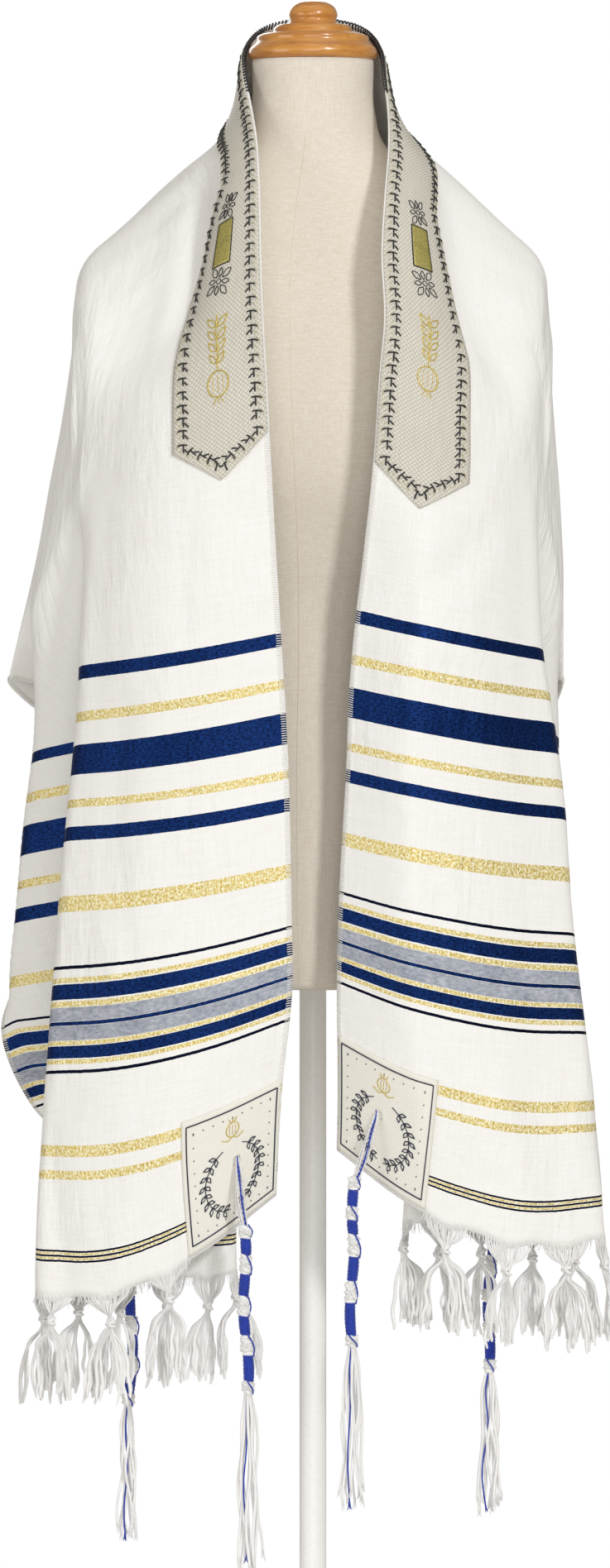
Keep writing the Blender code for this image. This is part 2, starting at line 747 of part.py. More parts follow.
def corner_patches(strip, material):
    """A square patch at each corner of the strip, with the hole that its tassel hangs through."""
    for side, label in ((-1, "left"), (1, "right")):
        for rear in (0, 1):
            half = HOLE_SIZE / 2
            places = stations(PATCH_START, PATCH_END, 5, (HOLE_ALONG - half, HOLE_ALONG + half))
            across = stations(2.0, 2.0 + PATCH_WIDTH, 4, (HOLE_ACROSS - half, HOLE_ACROSS + half))
            if rear:
                across = [WIDTH - v for v in reversed(across)]
            alongs = sorted(side * u for u in places)
            middle = WIDTH - HOLE_ACROSS if rear else HOLE_ACROSS
            i = next(k for k, u in enumerate(alongs[1:]) if u > side * HOLE_ALONG)
            j = next(k for k, v in enumerate(across[1:]) if v > middle)
            grid, normals = strip.laid(alongs, [across] * len(alongs))
            name = f"corner_patch_{label}_{'rear' if rear else 'front'}"
            wall(name, grid, 0.0, PATCH_WALL, material, holes={(i, j)}, normals=normals)


def outline(cells):
    """Outline points of a block of cells, as unit offsets from its middle and cell indices."""
    across, deep = cells
    walk = [(k, 0) for k in range(across)] + [(across, k) for k in range(deep)]
    walk += [(k, deep) for k in range(across, 0, -1)] + [(0, k) for k in range(deep, 0, -1)]
    return walk


def unit_offset(cell, cells):
    """A cell corner's offset from the block's middle, with the outline drawn towards a circle."""
    square = Vector((2 * cell[0] / cells[0] - 1, 2 * cell[1] / cells[1] - 1))
    if max(abs(square.x), abs(square.y)) < 1:
        return square * BUNDLE_ROUNDING
    return square * (1 - BUNDLE_ROUNDING) + square.normalized() * BUNDLE_ROUNDING


def bundle_point(mesh, centre, half_x, half_y, cell, cells):
    """A new vertex where one cell corner of a bundle's level ring comes."""
    offset = unit_offset(cell, cells)
    place = centre + Vector((offset.x * half_x, offset.y * half_y, 0.0))
    return mesh.verts.new(place * MM)


def bundle(mesh, root, cells, rings, tips, strand_size):
    """Grows a bundle from a root outline, down through rings, and parts it into loose strands.

    root: the outline's vertices on the backing. rings: rows of centre and half sizes. tips: for
    each strand cell, rows of its centre on the way down.
    """
    walk = outline(cells)
    last = root
    for centre, half_x, half_y in rings:
        ring = [bundle_point(mesh, centre, half_x, half_y, cell, cells) for cell in walk]
        for k in range(len(walk)):
            n = (k + 1) % len(walk)
            mesh.faces.new((last[k], last[n], ring[n], ring[k]))
        last = ring
    centre, half_x, half_y = rings[-1]
    corner = dict(zip(walk, last))
    for i in range(1, cells[0]):
        for j in range(1, cells[1]):
            corner[(i, j)] = bundle_point(mesh, centre, half_x, half_y, (i, j), cells)
    for (i, j), path in tips.items():
        frame = [corner[c] for c in ((i, j), (i + 1, j), (i + 1, j + 1), (i, j + 1))]
        middle = sum((v.co for v in frame), Vector()) / 4
        top = [mesh.verts.new(middle + (v.co - middle) * STRAND_NECK) for v in frame]
        join_ring(mesh, frame, top)
        before = top
        half = strand_size / 2 * MM
        for step, point in enumerate(path):
            size = half * (STRAND_TIP if step == len(path) - 1 else 1.0)
            square = [(-size, -size), (size, -size), (size, size), (-size, size)]
            ring = [mesh.verts.new(point * MM + Vector((x, y, 0.0))) for x, y in square]
            join_ring(mesh, before, ring)
            before = ring
        mesh.faces.new(before)


def join_ring(mesh, above, below):
    """Side faces between two rings of four points."""
    for k in range(4):
        n = (k + 1) % 4
        mesh.faces.new((above[k], above[n], below[n], below[k]))


def fanned(middle, cells, half, foot, spread, drop, sway):
    """Paths of the strands below a bundle: straight down, fanning out evenly to their tips."""
    paths = {}
    for i in range(cells[0]):
        for j in range(cells[1]):
            x = (2 * i + 1) / cells[0] - 1
            y = (2 * j + 1) / cells[1] - 1
            path = []
            for part in (0.14, 0.55, 1.0):
                width = half + (spread - half) * part**0.8
                wave = sway * math.sin(3.1 * part + 1.7 * i + 2.3 * j + foot)
                short = 1.0 - 0.05 * ((i * 3 + j * 5 + foot) % 4) / 3
                reach = Vector((x * width + wave, y * width * 0.8, -drop * part * short))
                path.append(middle + reach)
            paths[(i, j)] = path
    return paths


def tassels(strip, material):
    """The four corner tassels, each a tied cord of knots and windings that ends in strands."""
    for order, (label, row) in enumerate(TASSELS.items()):
        side, rear, first_shift, knot_shift, first, knot, tip, spread = row
        across = WIDTH - HOLE_ACROSS if rear else HOLE_ACROSS
        lift = CLOTH_WALL / 2 + LAID_GAP + PATCH_WALL + SEAM_GAP + TASSEL_RADIUS
        hole, normal = strip.surface(side * HOLE_ALONG, across, lift)
        hole = Vector(hole)
        stand_off = Vector((normal[0], normal[1], 0.0)) * 2.0
        cord = hole + stand_off
        halfway = cord + Vector((first_shift * 0.5, 0.0, -first * 0.5))
        rings = [(hole + Vector((0.0, 0.0, 1.0)), 1.6, 1.6), (hole, 2.6, 2.6)]
        rings.append((halfway, 2.4, 2.4))
        steps = 2 * TASSEL_WINDINGS + 1
        for k in range(steps):
            part = k / (steps - 1)
            shift = first_shift + (knot_shift - first_shift) * part
            drop = first + (knot - first) * part
            radius = TASSEL_KNOT_RADIUS if k % 2 == 0 else TASSEL_RADIUS
            rings.append((cord + Vector((shift, 0.0, -drop)), radius, radius))
        foot = cord + Vector((knot_shift, 0.0, -knot - TASSEL_FOOT))
        rings.append((foot, 3.0, 2.4))
        mesh = bmesh.new()
        cells = TASSEL_STRANDS
        root = [bundle_point(mesh, *rings[0], cell, cells) for cell in outline(cells)]
        mesh.faces.new(root)
        tips = fanned(foot, cells, 4.0, order, spread, tip - knot - TASSEL_FOOT, 1.2)
        bundle(mesh, root, cells, rings[1:], tips, STRAND_SIZE)
        bmesh.ops.recalc_face_normals(mesh, faces=mesh.faces)
        finish(f"tassel_{label}", mesh, material)


def fringes(material):
    """A knotted fringe on each hem: a narrow strip below the cloth, with locks hanging from it."""
    for side, label in ((-1, "left"), (1, "right")):
        half = LOCK_CELL * LOCK_TAILS / 2
        stops = set()
        for lock in FRINGE_LOCKS:
            stops |= {lock - half + LOCK_CELL * k for k in range(LOCK_TAILS + 1)}
        for low, high in zip(FRINGE_LOCKS, FRINGE_LOCKS[1:]):
            count = int((high - low - 2 * half) / FRINGE_CELL) + 1
            stops |= set(np.linspace(low + half, high - half, count + 1)[1:-1])
        stops |= {FRINGE_START, FRINGE_END}
        acrosses = sorted(stops)
        levels = [level_at(side * HALF_LENGTH, v) for v in acrosses]
        last_rows = (HALF_LENGTH - FRINGE_REACH, HALF_LENGTH)
        grid = np.array([cloth_rib(side * u, levels) for u in last_rows])
        down = grid[-1] - grid[0]
        down /= np.linalg.norm(down, axis=1, keepdims=True)
        along = np.gradient(grid[-1], axis=0)
        out = np.cross(along, down)
        out /= np.linalg.norm(out, axis=1, keepdims=True)
        top = grid[-1] + down * SEAM_GAP
        low = grid[-1] + down * (SEAM_GAP + FRINGE_STRIP)
        shift = out * FRINGE_WALL / 2
        mesh = bmesh.new()
        rows = [[mesh.verts.new(Vector(p) * MM) for p in row] for row in (top - shift, top + shift)]
        rows += [[mesh.verts.new(Vector(p) * MM) for p in row] for row in (low + shift, low - shift)]
        starts = {acrosses.index(lock - half) for lock in FRINGE_LOCKS}
        rooted = {k + n for k in starts for n in range(LOCK_TAILS)}
        for k in range(len(acrosses) - 1):
            for a, b in ((0, 1), (1, 2), (2, 3), (3, 0)):
                if (a, b) == (2, 3) and k in rooted:
                    continue
                mesh.faces.new((rows[a][k], rows[a][k + 1], rows[b][k + 1], rows[b][k]))
        for k in (0, len(acrosses) - 1):
            mesh.faces.new([row[k] for row in rows])
        for order, k in enumerate(sorted(starts)):
            grow_lock(mesh, rows, k, order)
        bmesh.ops.recalc_face_normals(mesh, faces=mesh.faces)
        finish(f"fringe_{label}", mesh, material)


def grow_lock(mesh, rows, start, order):
    """One knotted lock of fringe under the strip's cells from a start index."""
    cells = (LOCK_TAILS, 1)
    ends = range(start, start + LOCK_TAILS + 1)
    outer = [rows[2][k] for k in ends]
    inner = [rows[3][k] for k in ends]
    if outer[0].co.x > outer[-1].co.x:
        outer, inner = outer[::-1], inner[::-1]
    front, back = (outer, inner) if outer[1].co.y < inner[1].co.y else (inner, outer)
    root = front + back[::-1]
    middle = sum((v.co for v in root), Vector()) / len(root) / MM
    knot = middle + Vector((1.5 * math.sin(order * 2.2), 0.0, -KNOT_DROP - 2.0 * (order % 3)))
    rise = Vector((0.0, 0.0, KNOT_RADIUS))
    rings = [
        (middle.lerp(knot, 0.55), 4.6, 2.2),
        (knot + rise, 3.0, 2.4),
        (knot, KNOT_RADIUS, KNOT_RADIUS * 0.9),
        (knot - rise, 3.4, 2.6),
    ]
    drop = LOCK_LENGTH - KNOT_DROP - KNOT_RADIUS + 4.0 * math.sin(order * 1.9)
    tips = fanned(knot - rise, cells, 3.0, order, 6.0, drop, 1.0)
    bundle(mesh, root, cells, rings, tips, TAIL_SIZE)


def stand(metal, wood, linen):
    """Round base, pole, torso and turned neck cap."""
    turned("stand_base", BASE_PROFILE, BASE_SIDES, metal)
    foot = BASE_PROFILE[-1][1] + SEAM_GAP
    pole = ((POLE_RADIUS, foot), (POLE_RADIUS, FORM_BOTTOM - SEAM_GAP))
    turned("stand_pole", pole, POLE_SIDES, metal)
    dress_form(linen)
    turned("neck_cap", CAP_PROFILE, CAP_SIDES, wood)


def main():
    """Clears the scene and makes every piece."""
    for old in list(bpy.data.objects):
        bpy.data.objects.remove(old)
    cloth = finish_material("woven_cloth", "F4F2EE", 0.85)
    band = finish_material("brocade_band", "EDE9DC", 0.7)
    patch = finish_material("brocade_patch", "EFECE2", 0.7)
    cord = finish_material("white_cord", "F7F7F5", 0.8)
    linen = finish_material("linen", "E3DACB", 0.9)
    wood = finish_material("varnished_beech", "C98A45", 0.35)
    metal = finish_material("white_painted_steel", "EFEFEC", 0.4)
    stand(metal, wood, linen)
    strip = Strip()
    shawl(strip, cloth)
    neckband(strip, band)
    corner_patches(strip, patch)
    tassels(strip, cord)
    fringes(cord)


main()
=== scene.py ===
"""Tallit prayer shawl on a limbless dress form: cloth, stitching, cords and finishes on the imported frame.

Distances along the strip (u) run from the collar's centre to a hem and distances across it (v) from
the neck edge to the outer edge, both in millimetres. The left half has negative u.
"""

import logging
import math
from dataclasses import dataclass, field
from enum import Enum
from functools import cache
from typing import Optional, Sequence

import bmesh
import bpy
import numpy as np
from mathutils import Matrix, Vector


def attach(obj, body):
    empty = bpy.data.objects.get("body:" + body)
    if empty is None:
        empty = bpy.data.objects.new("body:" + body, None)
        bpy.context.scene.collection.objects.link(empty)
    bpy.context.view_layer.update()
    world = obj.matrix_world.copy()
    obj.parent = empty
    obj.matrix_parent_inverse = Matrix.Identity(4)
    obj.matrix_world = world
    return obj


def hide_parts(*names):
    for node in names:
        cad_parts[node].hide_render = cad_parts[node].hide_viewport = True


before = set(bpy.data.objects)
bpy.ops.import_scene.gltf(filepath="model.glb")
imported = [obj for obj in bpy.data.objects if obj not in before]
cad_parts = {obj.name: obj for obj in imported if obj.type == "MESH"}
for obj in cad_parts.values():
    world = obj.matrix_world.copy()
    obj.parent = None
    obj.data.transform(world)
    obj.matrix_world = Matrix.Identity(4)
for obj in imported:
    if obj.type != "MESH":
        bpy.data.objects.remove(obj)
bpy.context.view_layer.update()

logging.basicConfig(level=logging.INFO, format="%(message)s")
LOG = logging.getLogger("prayer_shawl")

MM = 0.001
ROOT = "root"
TURN = 2 * math.pi
Array = np.ndarray
Rows = Sequence[Sequence[float]]
Piece = bpy.types.Object
Material = bpy.types.Material
Finishes = dict[str, Material]
Socket = bpy.types.NodeSocket
NodeTree = bpy.types.NodeTree

# The cut of the strip, in millimetres.
HALF_LENGTH = 980.0
WIDTH = 560.0
CLOTH_WALL = 1.4
EDGE_BAND = 84.0
SEAM_GAP = 0.45

# Where the collar ends and the front begins, along the strip.
SHOULDER_START = 307.0
SHOULDER_END = 379.0

# The neckband, the corner patches and the hole in each.
BAND_WIDTH = 74.0
BAND_END = {-1: 404.0, 1: 434.0}
BAND_TIP = 28.0
PATCH_WIDTH = 80.0
PATCH_START = 879.0
PATCH_END = 977.0
HOLE_SIZE = 7.0
HOLE_ALONG = 925.0
HOLE_ACROSS = 38.0

# The stand.
POLE_RADIUS = 10.0
FORM_BOTTOM = 548.0
NECK_TOP = 1243.0
CAP_BOTTOM = 1243.4
FORM_SQUARENESS = 2.15
FORM_CLEARANCE = 2.6
BELOW_FORM = 12.0
SHARP_ANGLE = math.radians(42)

# Shares of a cord's radius: how far its plies lie from its middle, and how thick each is.
PLY_REACH = 0.52
PLY_THICKNESS = 0.56

# Dress form sections: height, half width, depth to the front, depth to the back.
FORM_SECTIONS = (
    (FORM_BOTTOM, 144, 80, 90), (558, 148, 83, 94), (600, 150, 85, 97), (650, 150, 86, 98),
    (720, 140, 84, 94), (780, 122, 80, 84), (834, 112, 78, 74), (880, 119, 86, 77), (930, 134, 98, 83),
    (980, 148, 98, 88), (1030, 157, 87, 88), (1065, 157, 77, 84), (1088, 150, 70, 80), (1112, 130, 64, 75),
    (1140, 101, 57, 69), (1160, 74, 52, 62), (1180, 54, 48, 54), (1205, 46.5, 46.5, 48),
    (NECK_TOP, 45.5, 45.5, 46),
)

# Stand base with the hub that the pole stands in: radius, height.
BASE_PROFILE = ((148, 0), (150, 2), (150, 10), (146, 13), (60, 15), (24, 16), (20, 24), (17, 26))

# Turned neck cap: radius, height.
CAP_PROFILE = (
    (45, CAP_BOTTOM), (47.2, 1244.6), (48.4, 1248), (47.4, 1252), (44, 1255.4), (42.2, 1257.2),
    (41.8, 1261), (39, 1262.6), (30, 1264.4), (29, 1267.6), (26.5, 1269.6), (19.6, 1270.6), (17.6, 1273),
    (18.4, 1277.6), (16.6, 1282.6), (11.6, 1286.4), (5, 1288),
)

# Lines along the half of the strip over one shoulder: distance from the collar's centre, x away
# from the form's middle, y, z. The first rows are shared by both halves.
NECK_EDGE_COLLAR = ((0, 0, 57, 1280), (45, 37, 37.5, 1270), (84, 51, 3, 1250))
NECK_EDGE = {
    -1: NECK_EDGE_COLLAR + (
        (112, 50.5, -19, 1231), (142, 46, -41, 1207), (184, 41.5, -72, 1178), (218, 39.8, -95, 1150),
        (307, 37.4, -125, 1063), (379, 33.4, -133, 987), (486, 27.6, -134, 877), (548, 23.8, -134, 813),
        (619, 19.4, -134, 742), (765, 15.6, -133, 596), (805, 15, -131, 556.5), (887, 22.6, -120, 476),
        (980, 26.7, -98, 396),
    ),
    1: NECK_EDGE_COLLAR + (
        (112, 53, -17, 1231), (152, 56, -42, 1198), (179, 56, -62, 1174), (216, 53.4, -88, 1142),
        (270, 50.6, -112, 1093), (327, 52.4, -127, 1041), (362, 49.4, -131, 1008),
        (437, 44.4, -133, 936.5), (502, 37.8, -134, 874.5), (549, 32.4, -134, 829), (606, 27.4, -134, 774),
        (667, 25.2, -134, 715), (769, 19.2, -133, 617), (849, 16.6, -129, 540), (980, 14.4, -104, 427),
    ),
}
NECK_CURVE_COLLAR = ((0, 0, 60, 1206), (45, 45, 42, 1201), (84, 59, 8, 1194))
NECK_CURVE = {
    -1: NECK_CURVE_COLLAR + (
        (112, 62, -16, 1187), (142, 63, -42, 1178), (184, 66, -66, 1158), (218, 69, -84, 1134),
        (307, 76, -110, 1054), (379, 84, -126, 975),
    ),
    1: NECK_CURVE_COLLAR + (
        (112, 66, -16, 1188), (142, 72, -38, 1178), (184, 82, -60, 1156), (218, 85, -78, 1128),
        (307, 92, -108, 1050), (379, 94, -126, 978),
    ),
}
SHOULDER_SLOPE_BACK = ((0, 0, 78, 1140), (45, 62, 74, 1139), (84, 98, 42, 1149), (112, 110, 12, 1152))
SHOULDER_SLOPE = {
    -1: SHOULDER_SLOPE_BACK + (
        (142, 100, -16, 1150), (184, 81, -42, 1134), (218, 80, -56, 1112), (307, 96, -84, 1038),
        (379, 130, -110, 957),
    ),
    1: SHOULDER_SLOPE_BACK + (
        (142, 108, -14, 1149), (184, 98, -38, 1130), (218, 100, -50, 1106), (307, 116, -80, 1030),
        (379, 136, -108, 957),
    ),
}
SHOULDER_TURN = (
    (0, 0, 93, 1090), (45, 64, 91, 1091), (84, 122, 68, 1097), (112, 156, 40, 1099), (142, 172, 8, 1095),
    (184, 173, -24, 1078), (218, 171, -44, 1056), (307, 166, -66, 1000),
)
FRONT_FOLD = {
    -1: SHOULDER_TURN + (
        (379, 163, -73, 946), (420, 162, -76, 917), (486, 166, -80, 852), (548, 171.5, -82, 789),
        (607, 177, -83, 730), (670, 183.6, -84, 669), (719, 188.6, -86, 617), (765, 193, -88, 564.5),
        (834, 199, -90, 487.5), (883, 202.8, -92, 433), (952, 206.8, -94, 355), (980, 207, -94, 323),
    ),
    1: SHOULDER_TURN + (
        (379, 164, -74, 948), (420, 164, -76, 922), (486, 167, -80, 862), (548, 170.5, -82, 802),
        (607, 179, -83, 747), (670, 187, -84, 684), (719, 190, -86, 639), (765, 193.6, -88, 590),
        (834, 202.2, -90, 517), (883, 208.4, -92, 466), (952, 216, -94, 395), (980, 217.2, -94, 365),
    ),
}
BACK_FOLD = ((0, 0, 105, 905), (45, 58, 106, 905), (84, 112, 98, 908), (112, 147, 80, 914), (142, 174, 48, 926))
SIDE_FOLD = {
    -1: BACK_FOLD + (
        (184, 190, 12, 940), (218, 196, -4, 926), (307, 206, -18, 868), (379, 215, -20, 820),
        (420, 218, -19, 796), (486, 218, -17, 760), (548, 219, -14, 724), (607, 224, -11, 669),
        (670, 226, -9, 607), (719, 228, -9, 556), (765, 222, -13, 524), (834, 198, -22, 463),
        (883, 171, -30, 436), (980, 126, -42, 364),
    ),
    1: BACK_FOLD + (
        (184, 182, 12, 940), (218, 184, -4, 926), (307, 187, -18, 872), (379, 189, -20, 826),
        (420, 190, -19, 803), (486, 190.5, -17, 770), (548, 191, -14, 736), (607, 190, -11, 684),
        (670, 188, -9, 628), (719, 186, -9, 585), (765, 182, -13, 546), (834, 168, -22, 490),
        (883, 157, -28, 468), (980, 128, -42, 396),
    ),
}
BACK_HEM = (
    (0, 0, 112, 737), (45, 46, 115, 733), (84, 84, 113, 735), (112, 112, 109, 738), (142, 140, 102, 741),
)
OUTER_EDGE = {
    -1: BACK_HEM + (
        (184, 176, 86, 746), (218, 200, 68, 753), (262, 219, 46, 766), (307, 228, 27, 779),
        (345, 206, 42, 776), (379, 170, 62, 768), (420, 148, 70, 752), (486, 144, 68, 728),
        (548, 153, 60, 703), (607, 172, 46, 655), (670, 202, 28, 596), (719, 222, 12, 550),
        (765, 233, -4, 518), (834, 209, -12, 459), (883, 182, -20, 434), (980, 136, -34, 362),
    ),
    1: BACK_HEM + (
        (184, 164, 84, 746), (218, 177, 66, 753), (262, 185, 46, 766), (307, 187, 30, 779),
        (345, 174, 42, 776), (379, 154, 60, 768), (420, 142, 70, 752), (486, 138, 68, 730),
        (548, 142, 60, 708), (607, 149, 50, 662), (670, 158, 38, 608), (719, 165, 26, 566),
        (765, 169, 14, 530), (834, 171, 2, 488), (883, 164, -10, 468), (980, 139, -30, 394),
    ),
}
# Hidden pleat behind each front fold: distance along, how far it is pleated (0 to 1), depth of the
# pleat, gap between its layers, and how far the front panel sags and swells between its edges.
PLEAT = {
    -1: (
        (307, 0, 20, 8, 0, 8), (379, 0, 30, 9, 0, 20), (420, 0.3, 50, 11, 0, 21),
        (486, 0.8, 88, 14, 1, 21), (548, 1, 112, 15, 2, 20), (607, 1, 122, 15, 3, 19),
        (765, 1, 138, 16, 6, 18), (834, 1, 146, 17, 10, 18), (980, 1, 150, 20, 24, 16),
    ),
    1: (
        (307, 0, 20, 8, 0, 8), (379, 0, 30, 9, 0, 19), (420, 0.3, 46, 11, 0, 20),
        (486, 0.8, 80, 14, 1, 20), (548, 1, 100, 15, 2, 19), (607, 1, 112, 15, 3, 18),
        (765, 1, 130, 16, 6, 17), (834, 1, 138, 17, 10, 17), (980, 1, 150, 20, 26, 15),
    ),
}

# Folds of the back: how many waves, how deep at the hem, and how far round they run.
BACK_WAVES = 5
BACK_WAVE_DEPTH = 9.0
BACK_WAVE_END = 240.0
CURVE_STEPS = 12

# How far the strip's inner part is drawn in beside the neck, by distance along: share of its width.
DRAWN_IN = {
    -1: (
        (60, 1), (110, 0.72), (160, 0.46), (200, 0.43), (237, 0.73), (292, 0.94), (340, 1),
    ),
    1: (
        (60, 1), (120, 0.8), (180, 0.67), (215, 0.64), (240, 0.76), (270, 0.87), (330, 1),
    ),
}

# Locks of each fringe: place across, span of the yarns gathered, knot's drop, shift in x, tails.
FRINGE_LOCKS = {
    -1: (
        (98, 16, 24, 0, 44), (146, 18, 26, 2, 46), (190, 18, 22, -1, 44), (232, 18, 26, 1, 48),
        (276, 18, 22, -2, 46), (318, 18, 25, 1, 46), (372, 20, 24, 0, 46), (416, 18, 26, 1, 44),
        (458, 16, 23, 0, 46),
    ),
    1: (
        (98, 16, 23, 0, 46), (146, 18, 25, -1, 44), (190, 18, 22, 1, 47), (232, 18, 26, 0, 46),
        (276, 18, 23, 2, 46), (318, 18, 25, 0, 45), (372, 20, 23, 0, 47), (416, 18, 26, -1, 45),
        (458, 16, 24, 0, 46),
    ),
}


def smooth_rows(rows: Rows, at: float) -> Array:
    """Reads a table at one distance along, with a smooth curve through its rows.

    Args:
        rows: Rows of a key and its values, keys rising.
        at: The distance along the strip, in millimetres.

    Returns:
        The row's values at that distance.
    """
    table = np.array(rows, float)
    keys = table[:, 0]
    at = min(max(at, keys[0]), keys[-1])
    slopes = np.gradient(table[:, 1:], keys, axis=0)
    k = min(int(np.searchsorted(keys, at, side="right")) - 1, len(keys) - 2)
    span = keys[k + 1] - keys[k]
    t = (at - keys[k]) / span
    start = (2 * t**3 - 3 * t**2 + 1) * table[k, 1:] + (t**3 - 2 * t**2 + t) * span * slopes[k]
    end = (3 * t**2 - 2 * t**3) * table[k + 1, 1:] + (t**3 - t**2) * span * slopes[k + 1]
    return start + end


def run_of(path: Array) -> Array:
    """The distance along a path at each of its points."""
    return np.r_[0.0, np.cumsum(np.linalg.norm(np.diff(path, axis=0), axis=1))]


def unit(rows: Array) -> Array:
    """Vectors scaled to a length of one."""
    return rows / np.linalg.norm(rows, axis=-1, keepdims=True)


def smooth_path(points: Rows, steps: int) -> Array:
    """A smooth curve through a few points, as evenly numbered points."""
    rows = np.array(points, float)
    keys = run_of(rows)
    table = np.column_stack([keys, rows])
    return np.array([smooth_rows(table, at) for at in np.linspace(0.0, keys[-1], steps)])


def clear_of_form(points: Array, gap: float) -> Array:
    """Moves points out level until they stand off the dress form.

    Args:
        points: Points in millimetres, with a last axis of three.
        gap: How far they have to stand off.

    Returns:
        The moved points.
    """
    table = np.array(FORM_SECTIONS)
    flat = points.reshape(-1, 3).copy()
    half, front, back = (np.interp(flat[:, 2], table[:, 0], table[:, k]) + gap for k in (1, 2, 3))
    depth = np.where(flat[:, 1] < 0, front, back)
    inside = (np.abs(flat[:, 0]) / half) ** FORM_SQUARENESS
    inside += (np.abs(flat[:, 1]) / depth) ** FORM_SQUARENESS
    near = (inside < 1.0) & (flat[:, 2] > FORM_BOTTOM - BELOW_FORM) & (flat[:, 2] < NECK_TOP)
    out = np.where(near, np.maximum(inside, 1e-6) ** (-1.0 / FORM_SQUARENESS), 1.0)
    flat[:, :2] *= out[:, None]
    return flat.reshape(points.shape)


def bent(start: Array, corner: Array, end: Array, cut_in: float, cut_out: float) -> Array:
    """Rounds one corner of a control line.

    Args:
        start: The point before the corner.
        corner: The corner.
        end: The point after it.
        cut_in: The share of the first leg that is rounded.
        cut_out: The share of the second leg.

    Returns:
        Points along the rounding.
    """
    first = corner - (corner - start) * cut_in
    last = corner + (end - corner) * cut_out
    steps = np.linspace(0.0, 1.0, CURVE_STEPS + 1)[:, None]
    return (1 - steps) ** 2 * first + 2 * steps * (1 - steps) * corner + steps**2 * last


def rib_points(along: float) -> tuple[Array, Array, tuple[float, ...]]:
    """One rib of the strip, from neck edge to outer edge.

    Args:
        along: Signed distance along the strip.

    Returns:
        The rib's dense points, the distance across at each, and where each fold line crosses it.
    """
    side = -1 if along < 0 else 1
    u = abs(along)
    tables = (NECK_EDGE, FRONT_FOLD, SIDE_FOLD, OUTER_EDGE, PLEAT)
    edge, fold, turn, outer, (pleated, depth, gap, sag, swell) = (smooth_rows(table[side], u) for table in tables)
    pleated = min(max(pleated, 0.0), 1.0)
    blend = min(max((u - SHOULDER_START) / (SHOULDER_END - SHOULDER_START), 0.0), 1.0)
    # The front panel swells forwards at about a third and two thirds of its width.
    lift = np.array([0.0, -swell, -sag])
    first = edge + (fold - edge) * 0.34 + lift * 0.9
    second = edge + (fold - edge) * 0.7 + lift
    if u < SHOULDER_END:
        near = smooth_rows(NECK_CURVE[side], u)
        far = smooth_rows(SHOULDER_SLOPE[side], u)
        first = near + (first - near) * blend
        second = far + (second - far) * blend
    # The pleat's inner layers lie behind that panel, each lower than the one before.
    drop = (fold[2] - turn[2]) * 0.36
    part = depth / max(fold[0] - edge[0], 1.0)
    behind = (edge[1] - fold[1]) * part - 3.4 * swell * part * (1 - part)
    flat = [fold + (turn - fold) * share for share in (0.0, 0.2, 0.5, 0.7)]
    moves = ((0, 0, 0), (0, gap, -drop * 0.2), (-depth, behind + gap, -drop), (-depth, behind + 2 * gap, -drop * 1.3))
    layers = [a + (fold + np.array(move) - a) * pleated for a, move in zip(flat, moves)]
    line = [edge, first, second, *layers, turn, (turn + outer) / 2, outer]
    reach = [0, 80, 80] + [34 - 26 * pleated] * 4 + [30, 60, 0]
    # Each corner is rounded over its reach, or over half of a leg that is shorter.
    points = [line[0]]
    marks = {}
    for k in range(1, len(line) - 1):
        before = np.linalg.norm(line[k] - line[k - 1])
        after = np.linalg.norm(line[k + 1] - line[k])
        cut = min(reach[k], before * 0.5, after * 0.5)
        marks[k] = len(points) + CURVE_STEPS // 2
        points.extend(bent(line[k - 1], line[k], line[k + 1], cut / before, cut / after))
    points.append(line[-1])
    places = np.array(points)
    lengths = run_of(places)
    at = {k: lengths[mark] for k, mark in marks.items()}
    places[:, 0] *= side
    return places, lengths, (0.0, (at[3] + at[4]) / 2, (at[5] + at[6]) / 2, at[7], lengths[-1])


def back_wave(along: float, level: Array) -> Array:
    """How far the folds of the back stand out, at levels from the shoulder (0) to the hem (1)."""
    fade = math.cos(min(abs(along) / BACK_WAVE_END, 1.0) * math.pi / 2) ** 0.6
    turns = along / BACK_WAVE_END * BACK_WAVES / 2 + 0.13 * math.sin(along / 61.0)
    return BACK_WAVE_DEPTH * level**1.3 * fade * math.cos(TURN * turns)


@dataclass(frozen=True)
class Crease:
    """A soft ridge (depth above 0) or trough (below 0) along a line on the flat strip."""

    start: tuple[float, float]
    end: tuple[float, float]
    width: float
    depth: float
    waver: float = 0.18
    fade: float = 0.35
    end_share: float = 0.25

    def lift(self, u: Array, v: Array) -> Array:
        """How far the crease moves each point (u, v) of the strip outwards, in millimetres."""
        ax, ay = self.start
        dx, dy = self.end[0] - ax, self.end[1] - ay
        span = math.hypot(dx, dy)
        along = ((u - ax) * dx + (v - ay) * dy) / span
        wander = self.waver * self.width * np.sin(along / (0.31 * span) + ax)
        off = ((u - ax) * dy - (v - ay) * dx) / span + wander
        taper = np.clip(np.minimum(along, span - along) / (self.fade * span) + self.end_share, 0.0, 1.0)
        taper = taper * taper * (3 - 2 * taper)
        return self.depth * taper * np.exp(-((off / self.width) ** 2))


